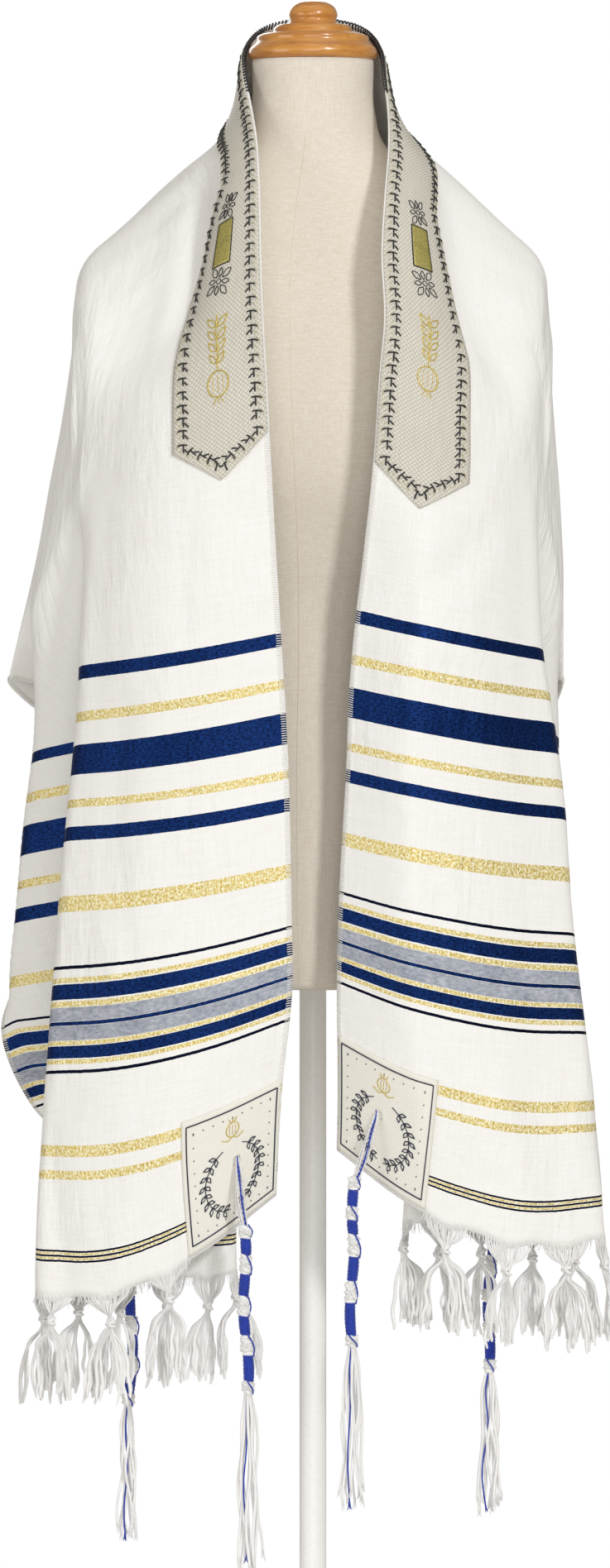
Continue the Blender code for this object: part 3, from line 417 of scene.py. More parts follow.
@dataclass(frozen=True)
class Ridge:
    """A long fold that turns the cloth to both sides of it.

    Rows: signed distance along, where the ridge lies across, lift of the neck edge, lift of the
    ridge, where its far foot lies across and the lift there.
    """

    rows: Rows
    softness: float
    foot_width: float = 60.0

    def lift(self, u: Array, v: Array) -> Array:
        """How far the fold moves each point (u, v) of the strip outwards, in millimetres."""
        table = np.array(sorted(self.rows))
        found = np.zeros(u.shape)
        for k, along in enumerate(u[:, 0]):
            if not table[0, 0] <= along <= table[-1, 0]:
                continue
            place, edge, top, foot, low = (np.interp(along, table[:, 0], table[:, n]) for n in range(1, 6))
            for shift in (-1.0, -0.5, 0.0, 0.5, 1.0):
                across = v[k] + shift * self.softness
                found[k] += np.interp(across, (0.0, place, foot, foot + self.foot_width), (edge, top, low, 0.0)) / 5
        return found


@dataclass
class Strip:
    """The whole strip of cloth as a fine grid of points, true to its cut."""

    creases: Sequence[Crease | Ridge]
    rows: int = 329
    columns: int = 137
    scallop: float = 5.0
    scallop_reach: float = 26.0
    scallop_share: float = 0.62
    alongs: Array = field(init=False)
    acrosses: Array = field(init=False)
    points: Array = field(init=False)
    normals: Array = field(init=False)

    def __post_init__(self) -> None:
        """Works out the grid, then raises the creases on it."""
        self.alongs = np.linspace(-HALF_LENGTH, HALF_LENGTH, self.rows)
        self.acrosses = np.linspace(0.0, WIDTH, self.columns)
        self.points = np.array([self._rib(along) for along in self.alongs])
        self._stand_off()
        u, v = np.meshgrid(self.alongs, self.acrosses, indexing="ij")
        lift = sum((crease.lift(u, v) for crease in self.creases), np.zeros(u.shape))
        self.points = self.points + self.normals * lift[..., None]
        self._scallop_hems()
        self._stand_off()

    def _stand_off(self) -> None:
        """Keeps the cloth clear of the form, and works out its outward normals."""
        self.points = clear_of_form(self.points, FORM_CLEARANCE + CLOTH_WALL / 2)
        self.normals = unit(np.cross(np.gradient(self.points, axis=0), np.gradient(self.points, axis=1)))

    def _rib(self, along: float) -> Array:
        """One row of the grid."""
        places, lengths, folds = rib_points(along)
        whole = folds[4]
        marks = (0.0, folds[1], WIDTH - EDGE_BAND, WIDTH)
        reach = np.interp(self._drawn_in(along), marks, (0.0, folds[1], whole - EDGE_BAND, whole))
        line = np.stack([np.interp(reach, lengths, places[:, k]) for k in range(3)], axis=1)
        levels = np.interp(reach, folds, range(5))
        line[:, 1] += back_wave(along, np.maximum(levels - 1.0, 0.0) / 3.0)
        return line

    def _drawn_in(self, along: float) -> Array:
        """Where the columns lie once the cloth is drawn in beside the neck, where the band turns edge-on."""
        share = np.interp(abs(along), *zip(*DRAWN_IN[-1 if along < 0 else 1]))
        marks = (0.0, 14.0, BAND_WIDTH, 200.0, WIDTH)
        return np.interp(self.acrosses, marks, (0.0, 7.0 * (1 + share), BAND_WIDTH * share, 200.0, WIDTH))

    def _scallop_hems(self) -> None:
        """Draws each hem down where a lock of fringe gathers it, and leaves it arched between."""
        for side, first, last in ((-1, 0, 1), (1, -1, -2)):
            down = unit(self.points[first] - self.points[last])
            pull = np.zeros(self.columns)
            for across, span, *_ in FRINGE_LOCKS[side]:
                pull = np.maximum(pull, np.exp(-(((self.acrosses - across) / (self.scallop_share * span)) ** 2)))
            reach = side * self.alongs - HALF_LENGTH + self.scallop_reach
            reach = np.clip(reach / self.scallop_reach, 0.0, 1.0) ** 2
            self.points += reach[:, None, None] * (self.scallop * pull)[None, :, None] * down[None]

    def at(self, u: Array, v: Array, lift: float = 0.0) -> tuple[Array, Array]:
        """Places on the strip.

        Args:
            u: Distances along, any shape.
            v: Distances across, the same shape.
            lift: How far outside the middle of the cloth.

        Returns:
            Points and unit normals, with a last axis of three.
        """
        row = np.clip(np.interp(u, self.alongs, np.arange(self.rows)), 0, self.rows - 1.001)
        column = np.interp(v, self.acrosses, np.arange(self.columns))
        column = np.clip(column, 0, self.columns - 1.001)
        i, j = row.astype(int), column.astype(int)
        s, t = (row - i)[..., None], (column - j)[..., None]
        found = []
        for grid in (self.points, self.normals):
            low = grid[i, j] * (1 - t) + grid[i, j + 1] * t
            high = grid[i + 1, j] * (1 - t) + grid[i + 1, j + 1] * t
            found.append(low * (1 - s) + high * s)
        normals = unit(found[1])
        return found[0] + normals * lift, normals

    def axes(self, u: Array, v: Array) -> tuple[Array, Array]:
        """Unit directions along and across the strip at places on it."""
        here, _ = self.at(u, v)
        found = []
        for du, dv in ((2.0, 0.0), (0.0, 2.0)):
            way = self.at(u + du, v + dv)[0] - here
            still = np.linalg.norm(way, axis=-1, keepdims=True) < 1e-6
            found.append(unit(np.where(still, here - self.at(u - du, v - dv)[0], way)))
        return found[0], found[1]


def linear(colour: str) -> tuple[float, float, float, float]:
    """Turns an sRGB hex colour such as "F4F2EE" to a linear RGBA value."""
    values = [int(colour[k : k + 2], 16) / 255 for k in (0, 2, 4)]
    red, green, blue = (v / 12.92 if v <= 0.04045 else ((v + 0.055) / 1.055) ** 2.4 for v in values)
    return (red, green, blue, 1.0)


def add_node(tree: NodeTree, kind: str, *values: object, named: Optional[dict] = None,
             **settings: object) -> bpy.types.Node:
    """Adds a node with its settings and what feeds it.

    Args:
        tree: The node tree.
        kind: The node type's own name.
        values: What feeds its shown inputs in order: sockets, sRGB hex colours or plain values.
        named: What feeds inputs by their name or number.
        settings: The node's own properties.

    Returns:
        The new node.
    """
    node = tree.nodes.new(kind)
    for name, value in settings.items():
        setattr(node, name, value)
    fed = list(zip([socket for socket in node.inputs if socket.enabled], values))
    fed += [(node.inputs[name], value) for name, value in (named or {}).items()]
    for socket, value in fed:
        if isinstance(value, Socket):
            tree.links.new(value, socket)
        else:
            socket.default_value = linear(value) if socket.type == "RGBA" and isinstance(value, str) else value
    return node


def linked(name: str, data: bpy.types.ID) -> Piece:
    """Puts a new object that holds some data in the scene."""
    made = bpy.data.objects.new(name, data)
    bpy.context.scene.collection.objects.link(made)
    return made


def piece_from(name: str, mesh: bmesh.types.BMesh, smooth: bool = True) -> Piece:
    """Turns a bmesh in metres into a named object in the scene."""
    data = bpy.data.meshes.new(name)
    mesh.to_mesh(data)
    mesh.free()
    if smooth:
        data.shade_smooth()
    return linked(name, data)


def shell(name: str, spot: tuple[Array, Array], cut: Array, low: float, high: float,
          holes: Optional[Array] = None) -> Piece:
    """A closed thin wall between two offsets of a grid, with the UV map "cut" on both faces.

    Args:
        name: The object's name.
        spot: Points by row and column in millimetres, and their unit normals.
        cut: For each point, its (u, v) on the flat cut in millimetres.
        low: Offset of the inner face.
        high: Offset of the outer face.
        holes: True for each cell that stays open.

    Returns:
        The object.
    """
    grid, normals = spot
    rows, columns = grid.shape[:2]
    shift = rows * columns
    points = np.concatenate([(grid + normals * off).reshape(-1, 3) for off in (low, high)])
    number = np.arange(shift).reshape(rows, columns)
    cells = np.stack([number[:-1, :-1], number[1:, :-1], number[1:, 1:], number[:-1, 1:]], axis=-1)
    kept = np.ones((rows - 1, columns - 1), bool) if holes is None else ~holes
    top = cells[kept]
    ends = np.concatenate([top[:, [k, (k + 1) % 4]] for k in range(4)])
    seen = {tuple(pair) for pair in ends.tolist()}
    rim = np.array([pair for pair in seen if (pair[1], pair[0]) not in seen])
    sides = np.stack([rim[:, 0], rim[:, 1], rim[:, 1] + shift, rim[:, 0] + shift], axis=1)
    faces = np.concatenate([top + shift, top[:, ::-1], sides])
    data = bpy.data.meshes.new(name)
    data.from_pydata((points * MM).tolist(), [], faces.tolist())
    layer = data.uv_layers.new(name="cut")
    corners = np.empty(len(data.loops), np.int32)
    data.loops.foreach_get("vertex_index", corners)
    uvs = np.concatenate([cut.reshape(-1, 2)] * 2) * MM
    layer.data.foreach_set("uv", uvs[corners].astype(np.float32).ravel())
    data.update()
    data.shade_smooth()
    mesh = bmesh.new()
    mesh.from_mesh(data)
    bmesh.ops.recalc_face_normals(mesh, faces=mesh.faces)
    if mesh.calc_volume(signed=True) < 0:
        bmesh.ops.reverse_faces(mesh, faces=mesh.faces)
    loose = [vert for vert in mesh.verts if not vert.link_faces]
    bmesh.ops.delete(mesh, geom=loose, context="VERTS")
    mesh.to_mesh(data)
    mesh.free()
    return linked(name, data)


def lofted(name: str, rings: Sequence[Array], turned: bool = False) -> Piece:
    """A closed smooth solid through level rings of points in millimetres.

    Args:
        name: The object's name.
        rings: Rings of as many points each, from end to end.
        turned: Whether its corners stay sharp, as on turned work.

    Returns:
        The object.
    """
    mesh = bmesh.new()
    verts = [[mesh.verts.new(Vector(point) * MM) for point in ring] for ring in rings]
    sides = len(verts[0])
    for low, high in zip(verts, verts[1:]):
        for k in range(sides):
            n = (k + 1) % sides
            mesh.faces.new((low[k], low[n], high[n], high[k]))
    mesh.faces.new(verts[0][::-1])
    mesh.faces.new(verts[-1])
    if turned:
        bmesh.ops.recalc_face_normals(mesh, faces=mesh.faces)
    made = piece_from(name, mesh)
    if turned:
        made.data.set_sharp_from_angle(angle=SHARP_ANGLE)
    return made


def dressed(piece: Piece, finish: Material, slot: str, *replaced: str) -> Piece:
    """Gives a piece its finish and its body, and hides the solids that it stands for.

    Args:
        piece: The piece.
        finish: Its material.
        slot: Not used.
        replaced: The solids that it stands for.

    Returns:
        The same piece.
    """
    piece.data.materials.clear()
    piece.data.materials.append(finish)
    for face in piece.data.polygons:
        face.material_index = 0
    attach(piece, ROOT)
    if replaced:
        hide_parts(*replaced)
    LOG.info("%s: %d faces", piece.name, len(piece.data.polygons))
    return piece


class Yarn(Enum):
    """The yarns of the shawl's stripes."""

    NAVY = "navy satin"
    LINE = "black-navy hairline"
    GOLD = "flat metallic gold"
    GREY = "heather grey"


# Stripes of the strip, by yarn: distances from the collar's centre to each near and far edge.
STRIPES = {
    Yarn.NAVY: (
        (548.4, 558.4), (607.4, 630.4), (670.1, 680.1), (776.3, 786.4), (801.1, 803.7), (817.2, 825.4),
    ),
    Yarn.LINE: ((764.2, 766.4), (833.1, 835.3), (950.6, 951.9), (953.8, 955.1), (957.0, 958.3)),
    Yarn.GOLD: (
        (582.6, 590.0), (649.6, 655.9), (718.6, 729.2), (772.0, 775.4), (787.6, 791.4), (813.9, 816.8),
        (826.2, 829.2), (882.5, 890.0), (899.0, 904.8), (952.1, 953.5), (955.3, 956.7),
    ),
    Yarn.GREY: ((791.7, 800.9), (803.9, 813.6)),
}


class Tree:
    """A material's node tree with a short way to add nodes."""

    def __init__(self, name: str, roughness: float, **constants: object) -> None:
        """Starts a Principled material.

        Args:
            name: The material's name.
            roughness: Its plain roughness.
            constants: Other shader inputs, with underscores for spaces.
        """
        self.material = bpy.data.materials.new(name)
        self.material.use_nodes = True
        self.tree = self.material.node_tree
        self.shader = self.tree.nodes["Principled BSDF"]
        self.shader.inputs["Roughness"].default_value = roughness
        for key, value in constants.items():
            self.shader.inputs[key.replace("_", " ")].default_value = value

    def add(self, kind: str, *values: object, **settings: object) -> Socket:
        """Adds a node of a kind named without its ShaderNode prefix, and gives its first shown output."""
        node = add_node(self.tree, "ShaderNode" + kind, *values, **settings)
        return next(socket for socket in node.outputs if socket.enabled)

    def place(self) -> Socket:
        """The place on the object, in metres."""
        return add_node(self.tree, "ShaderNodeTexCoord").outputs["Object"]

    def cut(self) -> tuple[Socket, Socket, Socket]:
        """The place on the flat cut: as a vector in metres, and its two parts in millimetres."""
        place = self.add("UVMap", uv_map="cut")
        parts = add_node(self.tree, "ShaderNodeSeparateXYZ", place).outputs
        u, v = (self.add("Math", part, 1000.0, operation="MULTIPLY") for part in parts[:2])
        return place, u, v

    def grains(self, place: Socket, *rows: tuple[float, float, Sequence[float], float]) -> list[Socket]:
        """Uneven patterns from 0 to 1.

        Args:
            place: The coordinates in metres.
            rows: For each pattern its scale, its detail, its stretch along each axis and its roughness.

        Returns:
            One socket for each row.
        """
        found = []
        for scale, detail, stretch, roughness in rows:
            placed = self.add("Mapping", named={"Vector": place, "Scale": stretch})
            found.append(self.add("TexNoise", placed, scale, detail, roughness))
        return found

    def waves(self, pitch: float, *distances: Socket) -> list[Socket]:
        """A sine of each distance, its half waves one pitch long."""
        turns = [self.add("Math", distance, math.pi / pitch, operation="MULTIPLY") for distance in distances]
        return [self.add("Math", turn, operation="SINE") for turn in turns]

    def finish(self, colour: Socket, *reliefs: tuple[Socket, float, float], **sockets: Socket) -> Material:
        """Ends the material.

        Args:
            colour: Its colour.
            reliefs: Heights from 0 to 1, each with its depth in millimetres and its strength, the
                widest first.
            sockets: What else feeds the shader, named with underscores for spaces.

        Returns:
            The finished material.
        """
        normal: dict[str, Socket] = {}
        for height, depth, strength in reliefs:
            named = {"Height": height, "Distance": depth * MM, "Strength": strength, **normal}
            normal = {"Normal": self.add("Bump", named=named)}
        for key, socket in {"Base_Color": colour, **sockets, **normal}.items():
            self.tree.links.new(socket, self.shader.inputs[key.replace("_", " ")])
        return self.material


@dataclass(frozen=True)
class WovenStripes:
    """Polycotton plain weave: matt, faintly slubbed, with satin, lurex and heather stripes woven in."""

    ground: str = "FAFAF8"
    thick_thread: str = "F6F5F1"
    navy: str = "1B3C7E"
    navy_shade: str = "071333"
    line: str = "0B0F28"
    gold: str = "EAD890"
    gold_glint: str = "FFFDE6"
    gold_gap: str = "C9AE5E"
    grey: str = "C3C7D0"
    grey_shade: str = "8E94A2"
    thread_pitch: float = 0.9

    def mask(self, tree: Tree, u: Socket, yarn: Yarn) -> Socket:
        """1 where a yarn's stripes lie, 0 elsewhere.

        Args:
            tree: The material's nodes.
            u: The distance along the strip, in millimetres.
            yarn: The yarn.

        Returns:
            The mask.
        """
        found = None
        for near, far in STRIPES[yarn]:
            inside = tree.add("Math", u, (near + far) / 2, (far - near) / 2, operation="COMPARE")
            found = inside if found is None else tree.add("Math", found, inside, operation="MAXIMUM")
        return found

    def build(self) -> Material:
        """Makes the material, which reads the UV map "cut"."""
        tree = Tree("woven_cloth", 0.86, Specular_IOR_Level=0.12)
        place, u, v = tree.cut()
        waver, slubs, picks, mottle, patches, cells, glint, handling, crumple = tree.grains(
            place, (260.0, 1.0, (0.25, 1, 1), 0.5), (700.0, 2.0, (0.05, 1, 1), 0.5), (700.0, 2.0, (1, 0.05, 1), 0.5),
            (520.0, 3.0, (1, 0.4, 1), 0.7), (90.0, 2.0, (1, 0.5, 1), 0.5), (700.0, 2.0, (1, 0.55, 1), 0.6),
            (620.0, 3.0, (0.8, 1, 1), 0.75), (9.0, 2.0, (1, 1, 1), 0.5), (75.0, 4.0, (0.3, 1, 1), 0.55),
        )
        # A stripe's edge wavers by a quarter of a millimetre, as picks do.
        waver = tree.add("Math", waver, 0.5, operation="SUBTRACT")
        waver = tree.add("Math", waver, 0.5, operation="MULTIPLY")
        along = tree.add("Math", tree.add("Math", u, operation="ABSOLUTE"), waver, operation="ADD")
        grey_mask, navy_mask, line_mask, gold_mask = (
            self.mask(tree, along, yarn) for yarn in (Yarn.GREY, Yarn.NAVY, Yarn.LINE, Yarn.GOLD)
        )
        threads = tree.add("Math", slubs, picks, operation="MULTIPLY")
        # Heather grey: two yarns spun together, so it is mottled lengthways.
        patches = tree.add("Math", patches, 0.5, operation="SUBTRACT")
        patches = tree.add("Math", patches, 0.5, operation="MULTIPLY")
        mottle = tree.add("Math", mottle, patches, operation="ADD")
        # Navy satin: long floats whose sheen breaks up into small cells. Lurex: flat metal film that
        # glints thread by thread, with white warp showing between.
        colour, grey, navy, gold = (
            tree.add("Mix", tree.add("MapRange", grain, low, high), dark, light, data_type="RGBA")
            for grain, low, high, dark, light in (
                (threads, 0.14, 0.34, self.thick_thread, self.ground),
                (mottle, 0.32, 0.72, self.grey_shade, self.grey),
                (cells, 0.3, 0.7, self.navy_shade, self.navy),
                (glint, 0.4, 0.48, self.gold_gap, self.gold),
            )
        )
        gold = tree.add("Mix", tree.add("MapRange", glint, 0.52, 0.58), gold, self.gold_glint, data_type="RGBA")
        for mask, yarn in ((grey_mask, grey), (navy_mask, navy), (line_mask, self.line), (gold_mask, gold)):
            colour = tree.add("Mix", mask, colour, yarn, data_type="RGBA")
        # Satin floats mirror the light only where they face it, so they count as partly metallic.
        satin = tree.add("Math", navy_mask, line_mask, operation="MAXIMUM")
        shine = 0.86
        for mask in (satin, gold_mask):
            smoothed = tree.add("Math", mask, 0.4, operation="MULTIPLY")
            shine = tree.add("Math", shine, smoothed, operation="SUBTRACT")
        film = tree.add("Math", gold_mask, tree.add("MapRange", glint, 0.4, 0.58, 0.45, 0.1), operation="MULTIPLY")
        metal = tree.add("Math", film, tree.add("Math", satin, 0.8, operation="MULTIPLY"), operation="ADD")
        # Soft crumples, stronger where the cloth was handled.
        handled = tree.add("MapRange", handling, 0.42, 0.62, 0.15, 1.0)
        crumple = tree.add("Math", crumple, handled, operation="MULTIPLY")
        weave = tree.add("Math", *tree.waves(self.thread_pitch, u, v), operation="MULTIPLY")
        relief = tree.add("Math", glint, gold_mask, operation="MULTIPLY")
        relief = tree.add("Math", tree.add("MapRange", weave, -1.0, 1.0), relief, operation="ADD")
        return tree.finish(colour, (crumple, 4.0, 0.7), (threads, 0.15, 0.12), (relief, 0.14, 0.5),
                           Roughness=shine, Metallic=metal)


@dataclass(frozen=True)
class DiamondBrocade:
    """Rayon brocade: a smooth cream face with a small diamond figure in a shinier float."""

    name: str = "brocade_band"
    ground: str = "E8E5DB"
    figure: str = "BDB8A8"
    diamond: float = 3.6
    depth: float = 0.2

    def build(self) -> Material:
        """Makes the material, which reads the UV map "cut"."""
        tree = Tree(self.name, 0.62, Sheen_Weight=0.1)
        place, u, v = tree.cut()
        diagonals = [tree.add("Math", u, v, operation=way) for way in ("ADD", "SUBTRACT")]
        lines = [tree.add("Math", wave, operation="ABSOLUTE") for wave in tree.waves(self.diamond, *diagonals)]
        lattice = tree.add("MapRange", tree.add("Math", *lines, operation="MINIMUM"), 0.05, 0.7)
        (slubs,) = tree.grains(place, (500.0, 3.0, (0.1, 1, 1), 0.5))
        colour = tree.add("Mix", lattice, self.figure, self.ground, data_type="RGBA")
        share = tree.add("MapRange", slubs, 0.3, 0.7, 0.0, 0.35)
        colour = tree.add("Mix", share, colour, self.figure, data_type="RGBA")
        slubs = tree.add("Math", slubs, 0.5, operation="MULTIPLY")
        return tree.finish(colour, (tree.add("Math", lattice, slubs, operation="ADD"), self.depth, 0.6))


@dataclass(frozen=True)
class SpunYarn:
    """Twisted yarn: matt, its twist and fuzz showing as streaks; glow is the light that passes through."""

    name: str
    colour: str
    shade: str
    roughness: float = 0.8
    glow: float = 0.0

    def build(self) -> Material:
        """Makes the material on object coordinates."""
        tree = Tree(self.name, self.roughness, Sheen_Weight=0.2, Subsurface_Weight=self.glow,
                    Subsurface_Radius=(1.0, 1.0, 1.0), Subsurface_Scale=0.004)
        (streaks,) = tree.grains(tree.place(), (900.0, 3.0, (1, 1, 0.35), 0.65))
        share = tree.add("MapRange", streaks, 0.3, 0.68)
        colour = tree.add("Mix", share, self.shade, self.colour, data_type="RGBA")
        return tree.finish(colour, (streaks, 0.25, 0.5))


@dataclass(frozen=True)
class MetalThread:
    """Gilt embroidery thread: film wound on a core, bright on each turn and dull between."""

    name: str
    colour: str
    glint: str

    def build(self) -> Material:
        """Makes the material on object coordinates."""
        tree = Tree(self.name, 0.42, Metallic=0.45)
        (turns,) = tree.grains(tree.place(), (1300.0, 2.0, (1, 1, 1), 0.5))
        share = tree.add("MapRange", turns, 0.42, 0.62)
        colour = tree.add("Mix", share, self.colour, self.glint, data_type="RGBA")
        return tree.finish(colour, (turns, 0.1, 0.4))


@dataclass(frozen=True)
class LinenCover:
    """Unbleached linen: uneven flax threads both ways, matt and warm, with darker flecks."""

    ground: str = "EFE8DD"
    thread: str = "E4DACA"
    fleck: str = "CDBD9F"

    def build(self) -> Material:
        """Makes the material on object coordinates."""
        tree = Tree("linen", 0.9, Sheen_Weight=0.12)
        level, upright, flecks, clouds = tree.grains(
            tree.place(), (1300.0, 2.0, (0.1, 0.1, 1), 0.5), (1300.0, 2.0, (1, 1, 0.08), 0.5),
            (260.0, 4.0, (1, 1, 0.3), 0.7), (7.0, 3.0, (1, 1, 1), 0.5),
        )
        cloth = tree.add("Math", level, upright, operation="ADD")
        colour = self.thread
        for grain, low, high, most, over in (
            (cloth, 0.8, 1.2, 1.0, self.ground), (flecks, 0.66, 0.8, 0.35, self.fleck),
            (clouds, 0.35, 0.7, 0.25, self.thread),
        ):
            share = tree.add("MapRange", grain, low, high, 0.0, most)
            colour = tree.add("Mix", share, colour, over, data_type="RGBA")
        return tree.finish(colour, (cloth, 0.2, 0.25))


@dataclass(frozen=True)
class VarnishedBeech:
    """Turned beech under honey varnish: fine rings and short flecks below a glossy coat."""

    light: str = "DF9F4C"
    dark: str = "BC762C"
    pore: str = "8C5122"

    def build(self) -> Material:
        """Makes the material on object coordinates, its rings level with the cap."""
        tree = Tree("varnished_beech", 0.32, Coat_Weight=0.7, Coat_Roughness=0.12)
        grain, streak = tree.grains(
            tree.place(), (55.0, 4.0, (0.25, 1, 4), 0.6), (320.0, 3.0, (0.08, 1, 1.5), 0.6)
        )
        share = tree.add("MapRange", grain, 0.3, 0.7)
        colour = tree.add("Mix", share, self.dark, self.light, data_type="RGBA")
        share = tree.add("MapRange", streak, 0.55, 0.75, 0.0, 0.55)
        colour = tree.add("Mix", share, colour, self.pore, data_type="RGBA")
        return tree.finish(colour, (streak, 0.08, 0.2))


@dataclass(frozen=True)
class PaintedSteel:
    """Powder-coated steel: white satin paint with a faint orange-peel skin."""

    colour: str = "FBFBFA"
    shade: str = "F5F5F3"

    def build(self) -> Material:
        """Makes the material on object coordinates."""
        tree = Tree("white_painted_steel", 0.4, Coat_Weight=0.2)
        (peel,) = tree.grains(tree.place(), (450.0, 2.0, (1, 1, 1), 0.5))
        share = tree.add("MapRange", peel, 0.3, 0.7)
        colour = tree.add("Mix", share, self.shade, self.colour, data_type="RGBA")
        return tree.finish(colour, (peel, 0.05, 0.3))


@dataclass
class Threads:
    """Threads of one piece, gathered as plain lines, then swept to round threads by Geometry Nodes."""

    name: str
    points: list[Array] = field(default_factory=list)
    radii: list[Array] = field(default_factory=list)
    edges: list[Array] = field(default_factory=list)
    count: int = 0

    def lay(self, path: Rows | Array, radius: float | Sequence[float] | Array) -> None:
        """Adds one thread.

        Args:
            path: Points along its middle, in millimetres.
            radius: Its radius, or one for each point.
        """
        path = np.asarray(path, float)
        steps = np.arange(len(path) - 1) + self.count
        self.points.append(path)
        self.radii.append(np.broadcast_to(np.asarray(radius, float), (len(path),)))
        self.edges.append(np.stack([steps, steps + 1], axis=1))
        self.count += len(path)

    def ply(self, path: Array, radius: float, phase: float, plies: int = 2, lay_length: float = 7.0) -> None:
        """Adds a twisted cord.

        Args:
            path: Points along its middle, in millimetres.
            radius: Its radius.
            phase: The angle that its first ply starts at.
            plies: How many threads it is twisted from.
            lay_length: How far apart its turns are.
        """
        tangents = np.gradient(path, axis=0)
        tangents /= np.maximum(np.linalg.norm(tangents, axis=1, keepdims=True), 1e-9)
        side = unit(np.cross(tangents, np.array([0.3, 1.0, 0.1])))
        other = np.cross(tangents, side)
        for k in range(plies):
            turn = run_of(path) / lay_length * TURN + phase + TURN * k / plies
            offset = np.cos(turn)[:, None] * side + np.sin(turn)[:, None] * other
            self.lay(path + offset * radius * PLY_REACH, radius * PLY_THICKNESS)

    def sweep(self, finish: Material, slot: str, *replaced: str, sides: int = 4) -> Piece:
        """Sweeps the lines to a plain mesh and dresses it.

        Args:
            finish: The material that the tree sets.
            slot: The piece's slot.
            replaced: The solids that it stands for.
            sides: Corners of each thread's section.

        Returns:
            The new object.
        """
        data = bpy.data.meshes.new(self.name + "_lines")
        data.from_pydata((np.concatenate(self.points) * MM).tolist(), np.concatenate(self.edges).tolist(), [])
        thick = data.attributes.new("thickness", "FLOAT", "POINT")
        thick.data.foreach_set("value", (np.concatenate(self.radii) * MM).astype(np.float32))
        made = realised(linked(self.name, data), sweep_tree(), {"Sides": sides, "Thread": finish})
        return dressed(made, finish, slot, *replaced)


def group_tree(name: str, inputs: Sequence[tuple[str, str, object]]) -> tuple[NodeTree, bpy.types.Node]:
    """Starts a Geometry Nodes tree with inputs given as rows of name, socket type and default value.

    Returns:
        The tree and its group input node.
    """
    tree = bpy.data.node_groups.new(name, "GeometryNodeTree")
    for way in ("INPUT", "OUTPUT"):
        tree.interface.new_socket("Geometry", in_out=way, socket_type="NodeSocketGeometry")
    for label, kind, value in inputs:
        socket = tree.interface.new_socket(label, in_out="INPUT", socket_type="NodeSocket" + kind)
        if value is not None:
            socket.default_value = value
    return tree, tree.nodes.new("NodeGroupInput")


def geometry(tree: NodeTree, kind: str, named: dict, **settings: object) -> Socket:
    """Adds a node of a kind named without its GeometryNode prefix, and gives its first output."""
    return add_node(tree, "GeometryNode" + kind, named=named, **settings).outputs[0]


def swept(tree: NodeTree, curve: Socket, sides: object, radius: object) -> bpy.types.Node:
    """Sweeps a closed ring along a curve.

    Args:
        tree: The tree.
        curve: The curve.
        sides: Corners of the ring.
        radius: Its radius in metres.

    Returns:
        The node that sweeps.
    """
    ring = geometry(tree, "CurvePrimitiveCircle", {"Resolution": sides, "Radius": radius})
    named = {"Curve": curve, "Profile Curve": ring, "Fill Caps": True}
    return add_node(tree, "GeometryNodeCurveToMesh", named=named)


def end_tree(tree: NodeTree, made: Socket, finish: Socket) -> NodeTree:
    """Ends a tree with Realize Instances, smooth shading and Set Material."""
    real = geometry(tree, "RealizeInstances", {0: made})
    smooth = geometry(tree, "SetShadeSmooth", {"Geometry": real})
    painted = geometry(tree, "SetMaterial", {"Geometry": smooth, "Material": finish})
    add_node(tree, "NodeGroupOutput", named={0: painted})
    return tree


def realised(source: Piece, tree: NodeTree, values: dict) -> Piece:
    """Runs a Geometry Nodes tree on an object and keeps the result as a plain mesh.

    Args:
        source: The object that holds the points or lines.
        tree: The tree.
        values: By input name, a value for the tree.

    Returns:
        The same object, holding the made mesh and no modifier.
    """
    modifier = source.modifiers.new("make", "NODES")
    modifier.node_group = tree
    for item in tree.interface.items_tree:
        if item.item_type == "SOCKET" and item.in_out == "INPUT" and item.name in values:
            modifier[item.identifier] = values[item.name]
    graph = bpy.context.evaluated_depsgraph_get()
    graph.update()
    made = bpy.data.meshes.new_from_object(source.evaluated_get(graph), preserve_all_data_layers=True, depsgraph=graph)
    source.modifiers.remove(modifier)
    made.name = source.name
    source.data = made
    return source


@cache
def sweep_tree() -> NodeTree:
    """The tree that sweeps lines to round threads of each point's own thickness."""
    tree, given = group_tree("thread_sweep", (("Sides", "Int", 5), ("Thread", "Material", None)))
    curve = geometry(tree, "MeshToCurve", {0: given.outputs["Geometry"]})
    thick = geometry(tree, "InputNamedAttribute", {"Name": "thickness"}, data_type="FLOAT")
    curve = geometry(tree, "SetCurveRadius", {"Curve": curve, "Radius": thick})
    thread = swept(tree, curve, given.outputs["Sides"], 1.0)
    if "Scale" in thread.inputs:
        tree.links.new(thick, thread.inputs["Scale"])
    return end_tree(tree, thread.outputs[0], given.outputs["Thread"])


def flipped(strokes: Sequence[Rows]) -> tuple[tuple[tuple[float, float, float], ...], ...]:
    """The strokes of a stitch turned over to the other side of their row."""
    return tuple(tuple((x, -y, z) for x, y, z in stroke) for stroke in strokes)


